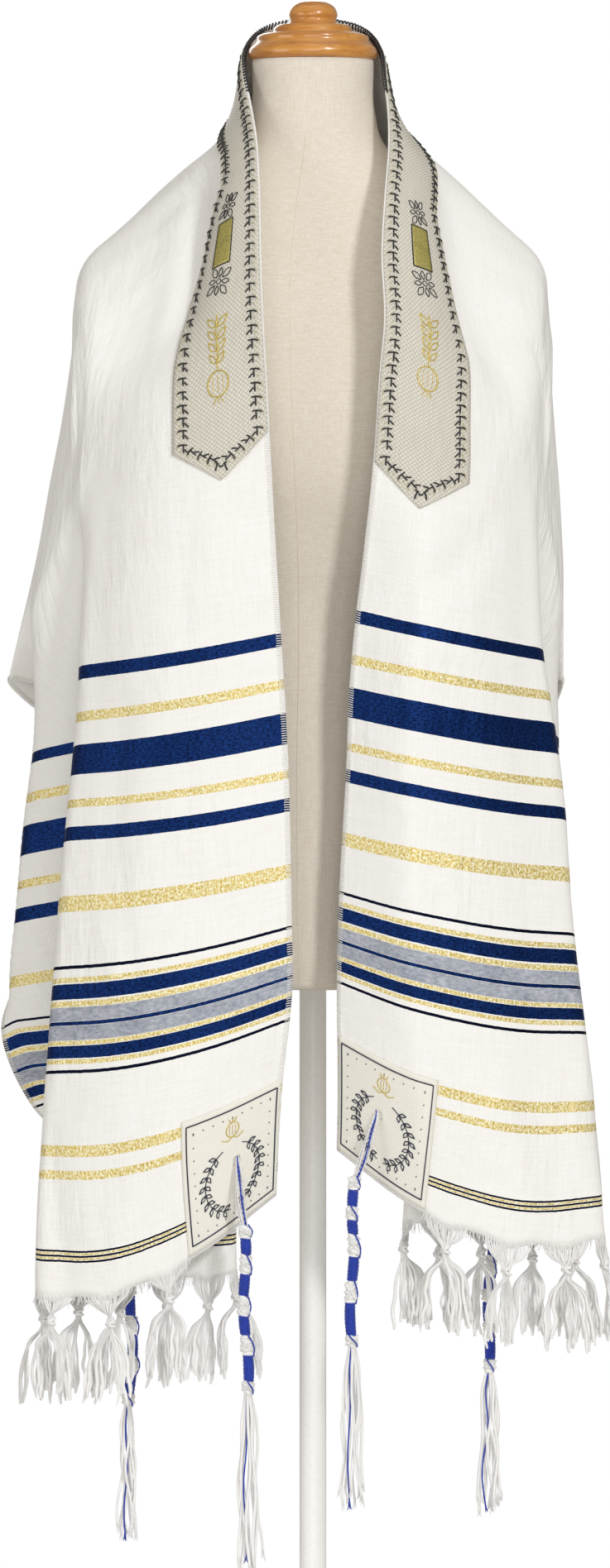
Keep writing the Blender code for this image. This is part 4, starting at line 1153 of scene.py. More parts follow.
HOOKS = (
    ((-2.9, -2.6, 0.0), (-3.7, 0.0, 0.7), (-3.5, 2.8, 0.7), (-2.2, 4.7, 0.6), (0.3, 4.0, 0.0)),
    ((-3.2, 0.3, 0.3), (-1.2, 0.3, 0.8), (0.9, 0.3, 0.8), (2.9, 0.2, 0.1)),
    ((0.2, -0.7, 0.3), (1.2, -1.7, 0.7), (2.2, -2.7, 0.7), (3.2, -3.6, 0.0)),
)
# Low pale copies of the hooks, just outside each one: a painted shadow of each hook, laid as a straw-coloured thread.
PAINTED_SHADOW_HOOKS = (
    ((-4.6, 2.2, 0.0), (-4.2, 4.6, 0.4), (-2.6, 6.1, 0.4), (0.2, 5.6, 0.0)),
    ((0.9, 2.0, 0.0), (1.6, 2.6, 0.3), (2.2, 3.2, 0.3), (2.6, 4.2, 0.0)),
)
BARB = ((0.0, -2.9, 0.0), (1.6, -3.4, 0.8), (3.6, -4.2, 0.8), (5.2, -4.4, 0.0))
SPUR = ((-1.6, -4.6, 0.0), (-0.9, -3.4, 0.5), (-0.4, -2.6, 0.5), (0.2, -1.8, 0.0))


class Stitch(Enum):
    """The shapes of stitch, each as strokes of control points in millimetres.

    X runs along the row, Y across it and Z out of the cloth.
    """

    OVERCAST = (((-0.7, -3.9, 0.75), (-0.5, 1.6, 1.3), (0.5, 1.6, -1.3), (0.7, -3.9, -0.75)),)
    ROPE = (((-1.3, -3.2, 0.9), (-0.9, 2.6, 2.2), (0.9, 2.6, -2.2), (1.3, -3.2, -0.9)),)
    FEATHER = HOOKS
    FEATHER_TURNED = flipped(HOOKS)
    # The SHADOW strokes are painted shadow: pale threads laid beside each hook.
    SHADOW = PAINTED_SHADOW_HOOKS
    SHADOW_TURNED = flipped(PAINTED_SHADOW_HOOKS)
    POINT = (
        BARB, *flipped((BARB,)), ((1.0, -1.6, 0.0), (2.6, -0.6, 0.6), (2.6, 0.6, 0.6), (1.0, 1.6, 0.0)),
        SPUR, *flipped((SPUR,)),
    )


@cache
def stitch_tree(stitch: Stitch) -> NodeTree:
    """The tree that puts one stitch on every point, turned to the point's own directions.

    Args:
        stitch: The stitch to repeat.

    Returns:
        The tree, with inputs for thread radius, size and finish.
    """
    inputs = (
        ("Thread Radius", "Float", 0.0003), ("Size", "Float", 1.0), ("Uneven", "Float", 0.1),
        ("Seed", "Int", 3), ("Thread", "Material", None),
    )
    tree, given = group_tree(f"stitch_{stitch.name.lower()}", inputs)
    joined = tree.nodes.new("GeometryNodeJoinGeometry")
    for stroke in stitch.value:
        # A stroke's first four control points shape it.
        ends = zip(("Start", "Start Handle", "End Handle", "End"), (Vector(point) * MM for point in stroke))
        segment = geometry(tree, "CurvePrimitiveBezierSegment", {"Resolution": 5, **dict(ends)})
        tree.links.new(segment, joined.inputs[0])
    thread = swept(tree, joined.outputs[0], 4, given.outputs["Thread Radius"])
    cloud = geometry(tree, "MeshToPoints", {"Mesh": given.outputs["Geometry"]})
    face, along = (
        geometry(tree, "InputNamedAttribute", {"Name": label}, data_type="FLOAT_VECTOR") for label in ("face", "along")
    )
    align = "FunctionNodeAlignRotationToVector"
    upright = add_node(tree, align, named={"Vector": face}, axis="Z").outputs[0]
    turned = add_node(tree, align, named={"Rotation": upright, "Vector": along}, axis="X", pivot_axis="Z").outputs[0]
    chance = add_node(tree, "FunctionNodeRandomValue", named={"Seed": given.outputs["Seed"]}, data_type="FLOAT")
    size = chance.outputs[1]
    for operation, other in (("SUBTRACT", 0.5), ("MULTIPLY", given.outputs["Uneven"]), ("ADD", given.outputs["Size"])):
        size = add_node(tree, "ShaderNodeMath", size, other, operation=operation).outputs[0]
    placing = {"Points": cloud, "Instance": thread.outputs[0], "Rotation": turned, "Scale": size}
    return end_tree(tree, geometry(tree, "InstanceOnPoints", placing), given.outputs["Thread"])


@dataclass
class StitchRow:
    """A row of stitches on the strip."""

    name: str
    stitch: Stitch
    radius: float
    uneven: float = 0.12

    def sew(self, points: Array, faces: Array, alongs: Array, thread: Material, slot: str) -> Piece:
        """Sews the row.

        Args:
            points: Where each stitch goes, in millimetres.
            faces: The cloth's outward direction there.
            alongs: The row's direction there.
            thread: The thread's finish.
            slot: The row's slot.

        Returns:
            The row as a plain mesh.
        """
        data = bpy.data.meshes.new(self.name + "_points")
        data.from_pydata((points * MM).tolist(), [], [])
        for label, rows in (("face", faces), ("along", alongs)):
            layer = data.attributes.new(label, "FLOAT_VECTOR", "POINT")
            layer.data.foreach_set("vector", rows.astype(np.float32).ravel())
        values = {"Thread Radius": self.radius * MM, "Size": 1.0, "Uneven": self.uneven, "Seed": len(points)}
        made = realised(linked(self.name, data), stitch_tree(self.stitch), {**values, "Thread": thread})
        return dressed(made, thread, slot)


@dataclass
class OnStrip:
    """Something worked on the strip of cloth, with every finish by name."""

    strip: Strip
    finish: Finishes


@dataclass
class Shawl(OnStrip):
    """The woven strip with its overcast long edges."""

    wall: float = 1.0
    stitch_pitch: float = 1.75
    rope_pitch: float = 3.1
    rope_end: float = 128.0
    thread: float = 0.34
    rope: float = 0.85

    def build(self) -> list[Piece]:
        """Makes the cloth, then the stitching of its edges."""
        cut = np.stack(np.meshgrid(self.strip.alongs, self.strip.acrosses, indexing="ij"), axis=-1)
        made = shell("shawl_cloth", (self.strip.points, self.strip.normals), cut, -self.wall / 2, self.wall / 2)
        nodes = [f"shawl_{place}" for place in ("back", "left_front", "left_side", "right_front", "right_side")]
        pieces = [dressed(made, self.finish["cloth"], "woven_cloth", *nodes)]
        whole = np.arange(-HALF_LENGTH + 2.0, HALF_LENGTH - 1.0, self.stitch_pitch)
        beside = whole[np.abs(whole) > self.rope_end]
        collar = np.arange(-self.rope_end, self.rope_end, self.rope_pitch)
        for name, stitch, u, across, radius, thread in (
            ("overcast_neck_edge", Stitch.OVERCAST, beside, 0.0, self.thread, "overcast"),
            ("overcast_outer_edge", Stitch.OVERCAST, whole, WIDTH, self.thread, "overcast"),
            ("collar_rope_edge", Stitch.ROPE, collar, 0.0, self.rope, "black"),
        ):
            points, normals = self.strip.at(u, np.full(u.shape, across))
            _, off = self.strip.axes(u, np.full(u.shape, min(max(across, 1.0), WIDTH - 3.0)))
            # Y of the stitch has to point off the cloth's edge, so the row's direction is turned to suit.
            way = np.cross(off if across else -off, normals)
            pieces.append(StitchRow(name, stitch, radius).sew(points, normals, way, self.finish[thread], "woven_cloth"))
        return pieces


@dataclass
class Neckband(OnStrip):
    """The brocade band round the neck, with its feather-stitched border and woven ornaments."""

    wall: float = 1.1
    lift: float = 1.0
    border: float = 9.5
    pitch: float = 9.9
    columns: int = 21
    rows: int = 236
    tops: tuple[float, float] = (219.0, 216.0)
    sprig_below: float = 95.0

    def _edges(self, u: float) -> tuple[float, float]:
        """Where the band's two edges lie across the strip at a distance along."""
        end = BAND_END[-1 if u < 0 else 1]
        cut = max(abs(u) - end, 0.0) / BAND_TIP * (BAND_WIDTH / 2 - 1.0)
        return 1.0 + cut, BAND_WIDTH - cut

    def build(self) -> list[Piece]:
        """Makes the band, its borders, its ornaments and its panels."""
        ends = (-BAND_END[-1] - BAND_TIP, BAND_END[1] + BAND_TIP)
        alongs = np.unique(np.r_[np.linspace(*ends, self.rows), -BAND_END[-1], BAND_END[1]])
        cut = np.array([[(u, v) for v in np.linspace(*self._edges(u), self.columns)] for u in alongs])
        spot = self.strip.at(cut[..., 0], cut[..., 1])
        band = shell("neckband_cloth", spot, cut, self.lift, self.lift + self.wall)
        nodes = ("neckband_back", "neckband_left", "neckband_right")
        pieces = [dressed(band, self.finish["brocade"], "brocade_band", *nodes)]
        return pieces + self._borders() + self._ornaments()

    def _borders(self) -> list[Piece]:
        """The feather-stitched border, down both edges and round each point."""
        inset = self.border
        middle = BAND_WIDTH / 2
        # Rows: distance along, distance across, turn of the row's direction from along the strip.
        plain_units: list[tuple[float, float, float]] = []
        turned_units: list[tuple[float, float, float]] = []
        tips: list[tuple[float, float, float]] = []
        # Each row runs from the neck down its own side, its hooks turned to the outside of the band.
        for side in (-1, 1):
            down = 0.0 if side > 0 else math.pi
            end = BAND_END[side] - 2.0
            tip = end + BAND_TIP - inset * 1.15
            for across, outer in ((inset, False), (BAND_WIDTH - inset, True)):
                kept = plain_units if outer == (side > 0) else turned_units
                kept += [(side * u, across, down) for u in np.arange(4.0, end - 7.0, self.pitch)]
                # Towards the point the row turns in along the slanting edge.
                turn = 0.9 if outer else -0.9
                for share in (0.0, 0.27, 0.54, 0.81):
                    bend = turn * min(share * 3.0, 1.0)
                    way = -bend if side > 0 else math.pi + bend
                    kept.append((side * (end + (tip - end) * share), across + (middle - across) * share, way))
            tips.append((side * (tip + 1.0), middle, down))
        pieces = []
        for name, stitch, radius, thread, rows in (
            ("stitches", Stitch.FEATHER, 0.58, "black", plain_units),
            ("turned", Stitch.FEATHER_TURNED, 0.58, "black", turned_units),
            ("points", Stitch.POINT, 0.66, "black", tips),
            # The shadow rows are painted shadow: a pale straw thread beside each hook.
            ("shadow", Stitch.SHADOW, 0.24, "painted_shadow", plain_units),
            ("shadow_turned", Stitch.SHADOW_TURNED, 0.24, "painted_shadow", turned_units),
        ):
            u, v, turns = np.array(rows).T
            points, normals = self.strip.at(u, v, self.lift + self.wall + 0.05)
            along, across = self.strip.axes(u, v)
            way = along * np.cos(turns)[:, None] + across * np.sin(turns)[:, None]
            row = StitchRow(f"neckband_border_{name}", stitch, radius, 0.14)
            pieces.append(row.sew(points, normals, way, self.finish[thread], "brocade_band"))
        return pieces

    def _ornaments(self) -> list[Piece]:
        """A gold lozenge panel between rosettes, and a gilt sprig below it, on each side."""
        lines = Threads("neckband_dark_outlines")
        gold = Threads("neckband_gilt_sprigs")
        panels = []
        for side, label, top in zip((-1, 1), ("left", "right"), self.tops):
            panel = Motif(self.strip, side, top, self.lift + self.wall)
            made = panel.field(f"neckband_gold_panel_{label}")
            panels.append(dressed(made, self.finish["olive"], "brocade_band"))
            panel.outline(lines)
            Motif(self.strip, side, top + self.sprig_below, self.lift + self.wall).sprig(gold)
        made = [lines.sweep(self.finish["black"], "brocade_band"), gold.sweep(self.finish["gilt"], "brocade_band")]
        return made + panels


@dataclass
class Motif:
    """A small ornament down the middle of the neckband, from a distance along the strip."""

    strip: Strip
    side: int
    start: float
    lift: float
    middle: float = BAND_WIDTH / 2
    near: float = 23.0
    far: float = 58.0
    half: float = 9.0
    raised: tuple[float, float] = (0.05, 0.4)

    def draw(self, threads: Threads, path: Rows, radius: float, steps: int = 14, closed: bool = False) -> None:
        """Lays one thread.

        Args:
            threads: The bundle that it joins.
            path: Places (along, across) from the motif's start and middle.
            radius: The thread's radius.
            steps: How many points it is drawn with.
            closed: Whether it ends where it starts.
        """
        flat = [(*point, 0.0) for point in path]
        if closed:
            flat.append(flat[0])
        if len(flat) > 2:
            line = smooth_path(flat, steps)
        else:
            line = np.array([np.linspace(low, high, steps) for low, high in zip(*flat)]).T
        points, _ = self.strip.at(
            self.side * (self.start + line[:, 0]), self.middle + line[:, 1], self.lift + radius * 0.4
        )
        threads.lay(points, radius)

    def field(self, name: str) -> Piece:
        """The satin field of a gold panel, a thin raised patch."""
        alongs = self.side * (self.start + np.linspace(self.near, self.far, 17))
        acrosses = self.middle + np.linspace(-self.half, self.half, 10)
        cut = np.array([[(u, v) for v in acrosses] for u in alongs])
        low, high = (self.lift + off for off in self.raised)
        return shell(name, self.strip.at(cut[..., 0], cut[..., 1]), cut, low, high)

    def outline(self, threads: Threads) -> None:
        """The panel's outline, a bar across it, and an eight-petalled rosette above and below."""
        edge = self.half + 0.2
        corners = ((self.near, -edge), (self.near, edge), (self.far, edge), (self.far, -edge))
        for first, second in zip(corners, corners[1:] + corners[:1]):
            self.draw(threads, (first, second), 0.5, 8)
        for low in (39.0, 41.6):
            self.draw(threads, ((low, -9.0), (low - 1.6, -3.0), (low + 1.2, 3.0), (low, 9.0)), 0.36)
        for centre in (10.5, 70.5):
            for k in range(8):
                angle = k * math.pi / 4 + 0.2
                reach = 13.4 if k % 2 else 10.2
                petal = [
                    (centre + reach * part * math.cos(angle + width), reach * part * math.sin(angle + width))
                    for part, width in ((0.3, 0.0), (0.65, 0.28), (1.0, 0.0), (0.65, -0.28))
                ]
                self.draw(threads, petal, 0.42, 12, closed=True)
            ring = [(centre + 2.1 * math.cos(a), 2.1 * math.sin(a)) for a in np.linspace(0, TURN, 7)]
            self.draw(threads, ring, 0.36, 12)

    def sprig(self, threads: Threads) -> None:
        """A gilt stem, its paired leaves, and a pomegranate at its foot."""
        self.draw(threads, ((0.0, 0.0), (12.0, 0.8), (24.0, -0.6), (36.0, 0.0)), 0.55)
        for k, place in enumerate((6.0, 14.0, 22.0, 30.0)):
            reach = 8.6 - 0.9 * k
            for sign in (-1, 1):
                root, tip = (place + 2.0, 0.0), (place - 5.0, sign * reach)
                for bow in ((place - 2.6, sign * reach * 0.34), (place + 0.8, sign * reach * 0.66)):
                    self.draw(threads, (root, bow, tip), 0.52, 8)
        fruit = [(46.0 + 9.0 * math.cos(a), 8.0 * math.sin(a)) for a in np.linspace(math.pi, 3 * math.pi, 13)]
        self.draw(threads, fruit, 0.6, 30)
        for across in (-2.6, 0.0, 2.6):
            self.draw(threads, ((55.0, across * 0.5), (60.0, across * 1.5)), 0.4, 5)
        for across in (-3.2, 0.0, 3.2):
            self.draw(threads, ((40.0, across), (46.0, across * 1.3), (52.0, across)), 0.26, 8)


@dataclass
class Corner(OnStrip):
    """Something at one corner of the strip."""

    side: int
    rear: bool

    @property
    def label(self) -> str:
        """The corner's place as words in a name."""
        return f"{'left' if self.side < 0 else 'right'}_{'rear' if self.rear else 'front'}"

    def across(self, inner: float) -> float:
        """A distance across the strip from one measured from the strip's nearer edge."""
        return WIDTH - inner if self.rear else inner


@dataclass
class CornerPatch(Corner):
    """A square brocade patch at one corner of the strip, with its hole and woven border."""

    wall: float = 1.0
    lift: float = 0.9

    def build(self) -> list[Piece]:
        """Makes the patch, its border and its ornament."""
        half = HOLE_SIZE / 2 - 0.5
        along = np.unique(np.r_[np.linspace(PATCH_START, PATCH_END, 34), HOLE_ALONG - half, HOLE_ALONG + half])
        inner = np.unique(np.r_[np.linspace(1.5, 1.5 + PATCH_WIDTH, 29), HOLE_ACROSS - half, HOLE_ACROSS + half])
        along = np.sort(self.side * along)
        across = np.sort([self.across(place) for place in inner])
        u, v = np.meshgrid(along, across, indexing="ij")
        low, high = sorted(self.side * (HOLE_ALONG + off) for off in (-half, half))
        middle = self.across(HOLE_ACROSS)
        open_rows = (along[:-1] >= low - 1e-6) & (along[1:] <= high + 1e-6)
        open_columns = (across[:-1] >= middle - half - 1e-6) & (across[1:] <= middle + half + 1e-6)
        name = f"patch_{self.label}"
        holes = np.outer(open_rows, open_columns)
        made = shell(name, self.strip.at(u, v), np.stack([u, v], axis=-1), self.lift, self.lift + self.wall, holes)
        pieces = [dressed(made, self.finish["patch"], "brocade_patch", f"corner_patch_{self.label}")]
        dark, gold = Threads(f"{name}_border"), Threads(f"{name}_ornament")
        self._border(dark)
        self._ornament(gold, dark)
        pieces.append(dark.sweep(self.finish["navy"], "brocade_patch"))
        return pieces + [gold.sweep(self.finish["gilt"], "brocade_patch")]

    def _line(self, threads: Threads, places: Rows, radius: float, steps: int = 12) -> None:
        """Lays a thread through places measured along from the patch's start and in from the strip's edge."""
        path = np.array(places, float)
        run = run_of(path)
        even = np.linspace(0.0, run[-1], steps)
        u = self.side * (PATCH_START + np.interp(even, run, path[:, 0]))
        v = np.array([self.across(place) for place in np.interp(even, run, path[:, 1])])
        threads.lay(self.strip.at(u, v, self.lift + self.wall + radius * 0.3)[0], radius)

    def _border(self, threads: Threads) -> None:
        """A dark line round the patch with a row of dots inside it."""
        low, high, near, far = 5.0, 92.0, 4.5, 78.0
        corners = ((low, near), (low, far), (high, far), (high, near), (low, near))
        for first, second in zip(corners, corners[1:]):
            self._line(threads, (first, second), 0.55, 26)
        inset = 5.5
        for share in np.linspace(0.075, 0.925, 9):
            up, in_by = low + (high - low) * share, near + (far - near) * share
            for x, y in ((low + inset, in_by), (high - inset, in_by), (up, near + inset), (up, far - inset)):
                self._line(threads, ((x, y), (x + 0.9, y)), 0.45, 2)

    def _ornament(self, gold: Threads, dark: Threads) -> None:
        """A gold pomegranate above a dark garland of leaves that curls round the hole."""
        middle = 41.25
        fruit = [(20.0 + 5.4 * math.cos(a), middle + 5.2 * math.sin(a)) for a in np.linspace(0, TURN, 17)]
        self._line(gold, fruit, 0.45, 28)
        for shift in (-2.0, 0.0, 2.0):
            self._line(gold, ((15.0, middle + shift * 0.6), (11.4, middle + shift * 1.6)), 0.42, 4)
            self._line(gold, ((16.6, middle + shift), (20.0, middle + shift * 1.3), (23.6, middle + shift)), 0.3, 8)
        for sign in (-1, 1):
            self._line(gold, ((25.4, middle), (27.6, middle + sign * 4.0), (25.0, middle + sign * 9.0)), 0.4, 8)
        for sign in (-1, 1):
            stem = [
                (57.0 - 25.0 * math.cos(angle), middle + sign * 23.5 * math.sin(angle))
                for angle in np.linspace(0.35, math.pi - 0.12, 11)
            ]
            self._line(dark, stem, 0.4, 30)
            for before, place, after in zip(stem, stem[1:], stem[2:]):
                ahead = np.subtract(after, before)
                ahead = ahead / np.linalg.norm(ahead)
                beside = np.array([-ahead[1], ahead[0]])
                for turn in (-1, 1):
                    tip, bow, low = (
                        np.array(place) + ahead * far + beside * turn * out
                        for far, out in ((4.0, 4.6), (0.8, 3.3), (3.0, 1.5))
                    )
                    self._line(dark, (place, bow, tip), 0.5, 5)
                    self._line(dark, (place, low, tip), 0.42, 5)


@dataclass
class CornerTassel(Corner):
    """A tied corner tassel: doubled cords, knots and blue windings, then loose cords."""

    course: Rows
    windings: Rows
    knot: float
    foot: float
    tip: float
    spread: float
    seed: int
    cords: int = 11
    core_cords: int = 7
    cord_radius: float = 0.95
    stand_off: float = 3.6
    yarn_pitch: float = 1.15

    def _place(self, drop: float) -> Array:
        """The cord's middle at a drop below the hole."""
        u, v = np.array(self.side * HOLE_ALONG), np.array(self.across(HOLE_ACROSS))
        hole, normal = self.strip.at(u, v, self.stand_off)
        shift = np.interp(drop, *zip(*self.course))
        shift += 1.5 * math.sin(drop * 0.071 + self.seed * 1.9) * min(drop / 40.0, 1.0)
        stand = min(drop / 14.0, 1.0)
        out = np.array([normal[0], normal[1], 0.0]) * (1.0 + 2.4 * stand)
        return hole + out + np.array([shift, 0.0, -drop])

    def build(self) -> list[Piece]:
        """Makes the tassel's white cords, then its blue windings."""
        rng = np.random.default_rng(self.seed)
        cords = Threads(f"tassel_{self.label}_cords")
        blues = Threads(f"tassel_{self.label}_blue")
        self._bundle(cords, blues, rng)
        for top, bottom in self.windings:
            self._winding(blues, top, bottom)
        ends = [self.knot - 3.0] + [bottom for _, bottom in self.windings]
        starts = [top for top, _ in self.windings] + [self.foot + 2.0]
        for top, bottom in zip(ends, starts):
            self._knot(cords, rng, top - 0.3, bottom + 0.3)
            self._stray(blues, rng, top, bottom)
        for k in range(self.cords):
            self._loose(blues if k == 7 else cords, rng, k)
        white = cords.sweep(self.finish["white"], "white_cord", f"tassel_{self.label}", sides=5)
        return [white, blues.sweep(self.finish["blue"], "white_cord", sides=5)]

    def _bundle(self, cords: Threads, blues: Threads, rng: np.random.Generator) -> None:
        """The core cords from the hole down to the last knot."""
        first = self.windings[0][0]
        for k in range(self.core_cords):
            angle = TURN * k / self.core_cords
            path = []
            for drop in np.linspace(-4.0, self.foot, 60):
                belly = 1.7 + 1.5 * math.exp(-(((drop - first * 0.5) / (first * 0.3)) ** 2))
                pinch = min(max((drop + 6.0) / 12.0, 0.35), 1.0)
                turn = angle + drop * 0.02
                around = np.array([math.cos(turn), math.sin(turn) * 0.9, 0.0])
                path.append(self._place(max(drop, 0.0)) + around * belly * pinch - np.array([0, 0, min(drop, 0.0)]))
            # One cord of the seven is blue; it shows between the hole and the first winding.
            (blues if k == 5 else cords).ply(np.array(path), self.cord_radius, angle + float(rng.random()))

    def _round(self, drop: float, angle: float, reach: float, rise: float = 0.0) -> Array:
        """A point round the cord's middle, at a drop below the hole and a reach from the middle."""
        return self._place(drop) + np.array([math.cos(angle) * reach, math.sin(angle) * reach, rise])

    def _winding(self, blues: Threads, top: float, bottom: float) -> None:
        """One stretch wound closely with blue yarn."""
        steps = max(int((bottom - top) / self.yarn_pitch), 3) * 10
        path = []
        for k in range(steps + 1):
            drop = top + (bottom - top) * k / steps
            swell = 3.3 + 0.25 * math.sin(math.pi * k / steps) + 0.12 * math.sin(drop * 2.1)
            path.append(self._round(drop, TURN * k / 10, swell))
        blues.lay(path, 0.72)

    def _knot(self, cords: Threads, rng: np.random.Generator, top: float, bottom: float) -> None:
        """A doubled knot that fills the space between two windings: fat turns with loops across them."""
        steps = max(round((bottom - top) / 3.2), 2) * 12
        path = []
        for k in range(steps + 1):
            part, angle = k / steps, TURN * k / 12
            swell = 1.9 + 1.0 * math.sin(math.pi * part) + 0.35 * math.sin(angle * 0.37 + top)
            path.append(self._round(top + (bottom - top) * part, angle, swell, 0.9 * math.sin(angle + top)))
        cords.lay(path, 2.05)
        middle = self._place((top + bottom) / 2)
        half = (bottom - top) / 2
        for tilt in (rng.uniform(0.5, 0.9), -rng.uniform(0.5, 0.9)):
            loop = []
            for angle in np.linspace(0, TURN, 21):
                x, y = 3.7 * math.cos(angle), 3.6 * math.sin(angle)
                loop.append(middle + np.array([x, y, x * tilt * half / 5.0]))
            cords.lay(loop, 1.6)

    def _stray(self, blues: Threads, rng: np.random.Generator, top: float, bottom: float) -> None:
        """The blue yarn where it crosses a knot slantwise, from one winding to the next."""
        start = rng.uniform(-2.2, -0.6)
        path = []
        for part in np.linspace(-0.08, 1.08, 9):
            swell = 3.4 + 1.3 * math.sin(math.pi * min(max(part, 0.0), 1.0)) + 0.9
            path.append(self._round(top + (bottom - top) * part, start + 1.3 * part, swell))
        blues.lay(path, 0.6)

    def _loose(self, bundle: Threads, rng: np.random.Generator, k: int) -> None:
        """One loose cord below the last knot, ending in a frayed tip."""
        angle = TURN * (k + 0.35) / self.cords
        reach = self.spread * rng.uniform(0.45, 1.0)
        length = (self.tip - self.foot) * rng.uniform(0.88, 1.0)
        wave, beat = rng.uniform(0.9, 2.6), rng.uniform(0, 6.28)
        rows = []
        for part in np.linspace(0.0, 1.0, 34):
            wide = 1.4 + (reach - 1.4) * (0.55 * min(part * 6.0, 1.0) + 0.45 * part**2)
            sway = wave * min(part * 2.0, 1.0) * math.sin(beat + 9.0 * part)
            x, y = math.cos(angle) * wide + sway, math.sin(angle) * wide * 0.6 + 0.6 * sway
            rows.append(self._place(self.foot) + np.array([x, y, -length * part]))
        bundle.lay(rows, 0.62 if k % 4 == 3 else rng.uniform(0.95, 1.35))
        for _ in range(4):
            turn = rng.uniform(0, 6.28)
            end = rows[-1] + np.array([math.cos(turn) * 1.8, math.sin(turn) * 1.4, -rng.uniform(2.0, 5.0)])
            bundle.lay([rows[-2], (rows[-1] + end) / 2, end], (0.5, 0.42, 0.2))


@dataclass
class KnottedFringe(OnStrip):
    """The knotted fringe below one hem: yarns of the cloth gathered into knots, then hanging."""

    side: int
    yarns: int = 18
    knot_share: float = 0.68
    tail_share: float = 1.32
    ends: tuple[float, float] = (78.0, 482.0)
    steps: int = 44

    def build(self) -> list[Piece]:
        """Makes the locks of one hem with their knots, as one piece."""
        label = "left" if self.side < 0 else "right"
        rng = np.random.default_rng(40 + self.side)
        threads = Threads(f"fringe_{label}_yarns")
        for lock in FRINGE_LOCKS[self.side]:
            self._lock(threads, rng, *lock)
        self._fuzz(threads, rng)
        return [threads.sweep(self.finish["white"], "white_cord", f"fringe_{label}")]

    def _hem(self, across: float, short: float = 0.0) -> Array:
        """A point on the hem, short of the very edge by a distance."""
        return self.strip.at(np.array(self.side * (HALF_LENGTH - short)), np.array(across))[0]

    def _lock(self, threads: Threads, rng: np.random.Generator, across: float, span: float, drop: float,
              shift: float, tail: float) -> None:
        """One lock: yarns from the hem to a knot, the knot, and its tails."""
        knot = self._hem(across) + np.array([shift, -1.0, -drop * self.knot_share])
        tail = tail * self.tail_share
        groups = [(rng.uniform(0, 6.28), rng.uniform(8.0, 23.0)) for _ in range(4)]
        for k in range(self.yarns):
            share = (k + 0.5) / self.yarns * 2 - 1 + rng.uniform(-0.05, 0.05)
            place = min(max(across + share * span, self.ends[0]), self.ends[1])
            start, edge = self._hem(place, 3.0), self._hem(place)
            heading, reach = groups[k % 4]
            angle = heading + rng.uniform(-0.35, 0.35)
            c, s = math.cos(angle), math.sin(angle)
            into = knot + np.array([share * 2.6, s * 1.4, 2.4])
            ease = edge + (into - edge) * 0.45 + np.array([share * span * 0.1, rng.uniform(-1, 1), -1.5])
            spread = reach * rng.uniform(0.75, 1.1)
            end = knot + np.array([c * spread, s * spread * 0.4, -tail * rng.uniform(0.82, 1.0)])
            bow = knot + (end - knot) * 0.32 + np.array([c * 6.5, s * 2.6, 0.0])
            low = knot + np.array([share * 1.6, s * 1.0, -3.0])
            curl = end + (bow - end) * 0.35 + np.array([rng.uniform(-2.4, 2.4), rng.uniform(-1, 1), 0.0])
            path = smooth_path((start, edge, ease, into, low, bow, curl, end), self.steps)
            # The tails keep the kinks of the weave they were drawn from.
            hang = np.linspace(0, 1, self.steps)
            kink = np.clip((hang - 0.45) * 4, 0, 1) * rng.uniform(0.2, 0.9)
            path[:, 0] += kink * np.sin(hang * rng.uniform(16, 30) + angle)
            taper = np.interp(hang, (0, 0.3, 0.5, 0.92, 1), (0.85, 0.85, 1.3, 1.6, 0.85))
            threads.lay(path, taper * rng.uniform(0.85, 1.15))
        for k in range(2):
            tilt = rng.uniform(0.2, 0.7) * (1 if k else -1)
            loop = []
            for angle in np.linspace(0, TURN, 15):
                x, y = 3.0 * math.cos(angle), 2.7 * math.sin(angle)
                loop.append(knot + np.array([x, y, (k - 0.5) * 1.8 + x * tilt]))
            threads.lay(loop, 1.35)

    def _fuzz(self, threads: Threads, rng: np.random.Generator) -> None:
        """Short loose yarn ends along the hem between the locks."""
        for across in np.arange(80.0, 480.0, 2.6):
            place = across + rng.uniform(-0.8, 0.8)
            edge = self._hem(place)
            drop = rng.uniform(4.0, 9.0)
            lean = rng.uniform(-2.5, 2.5)
            middle = edge + np.array([lean * 0.3, rng.uniform(-0.6, 0.6), -drop * 0.5])
            end = edge + np.array([lean, rng.uniform(-1.5, 1.0), -drop])
            threads.lay([self._hem(place, 2.0), edge, middle, end], (0.5, 0.5, 0.42, 0.22))


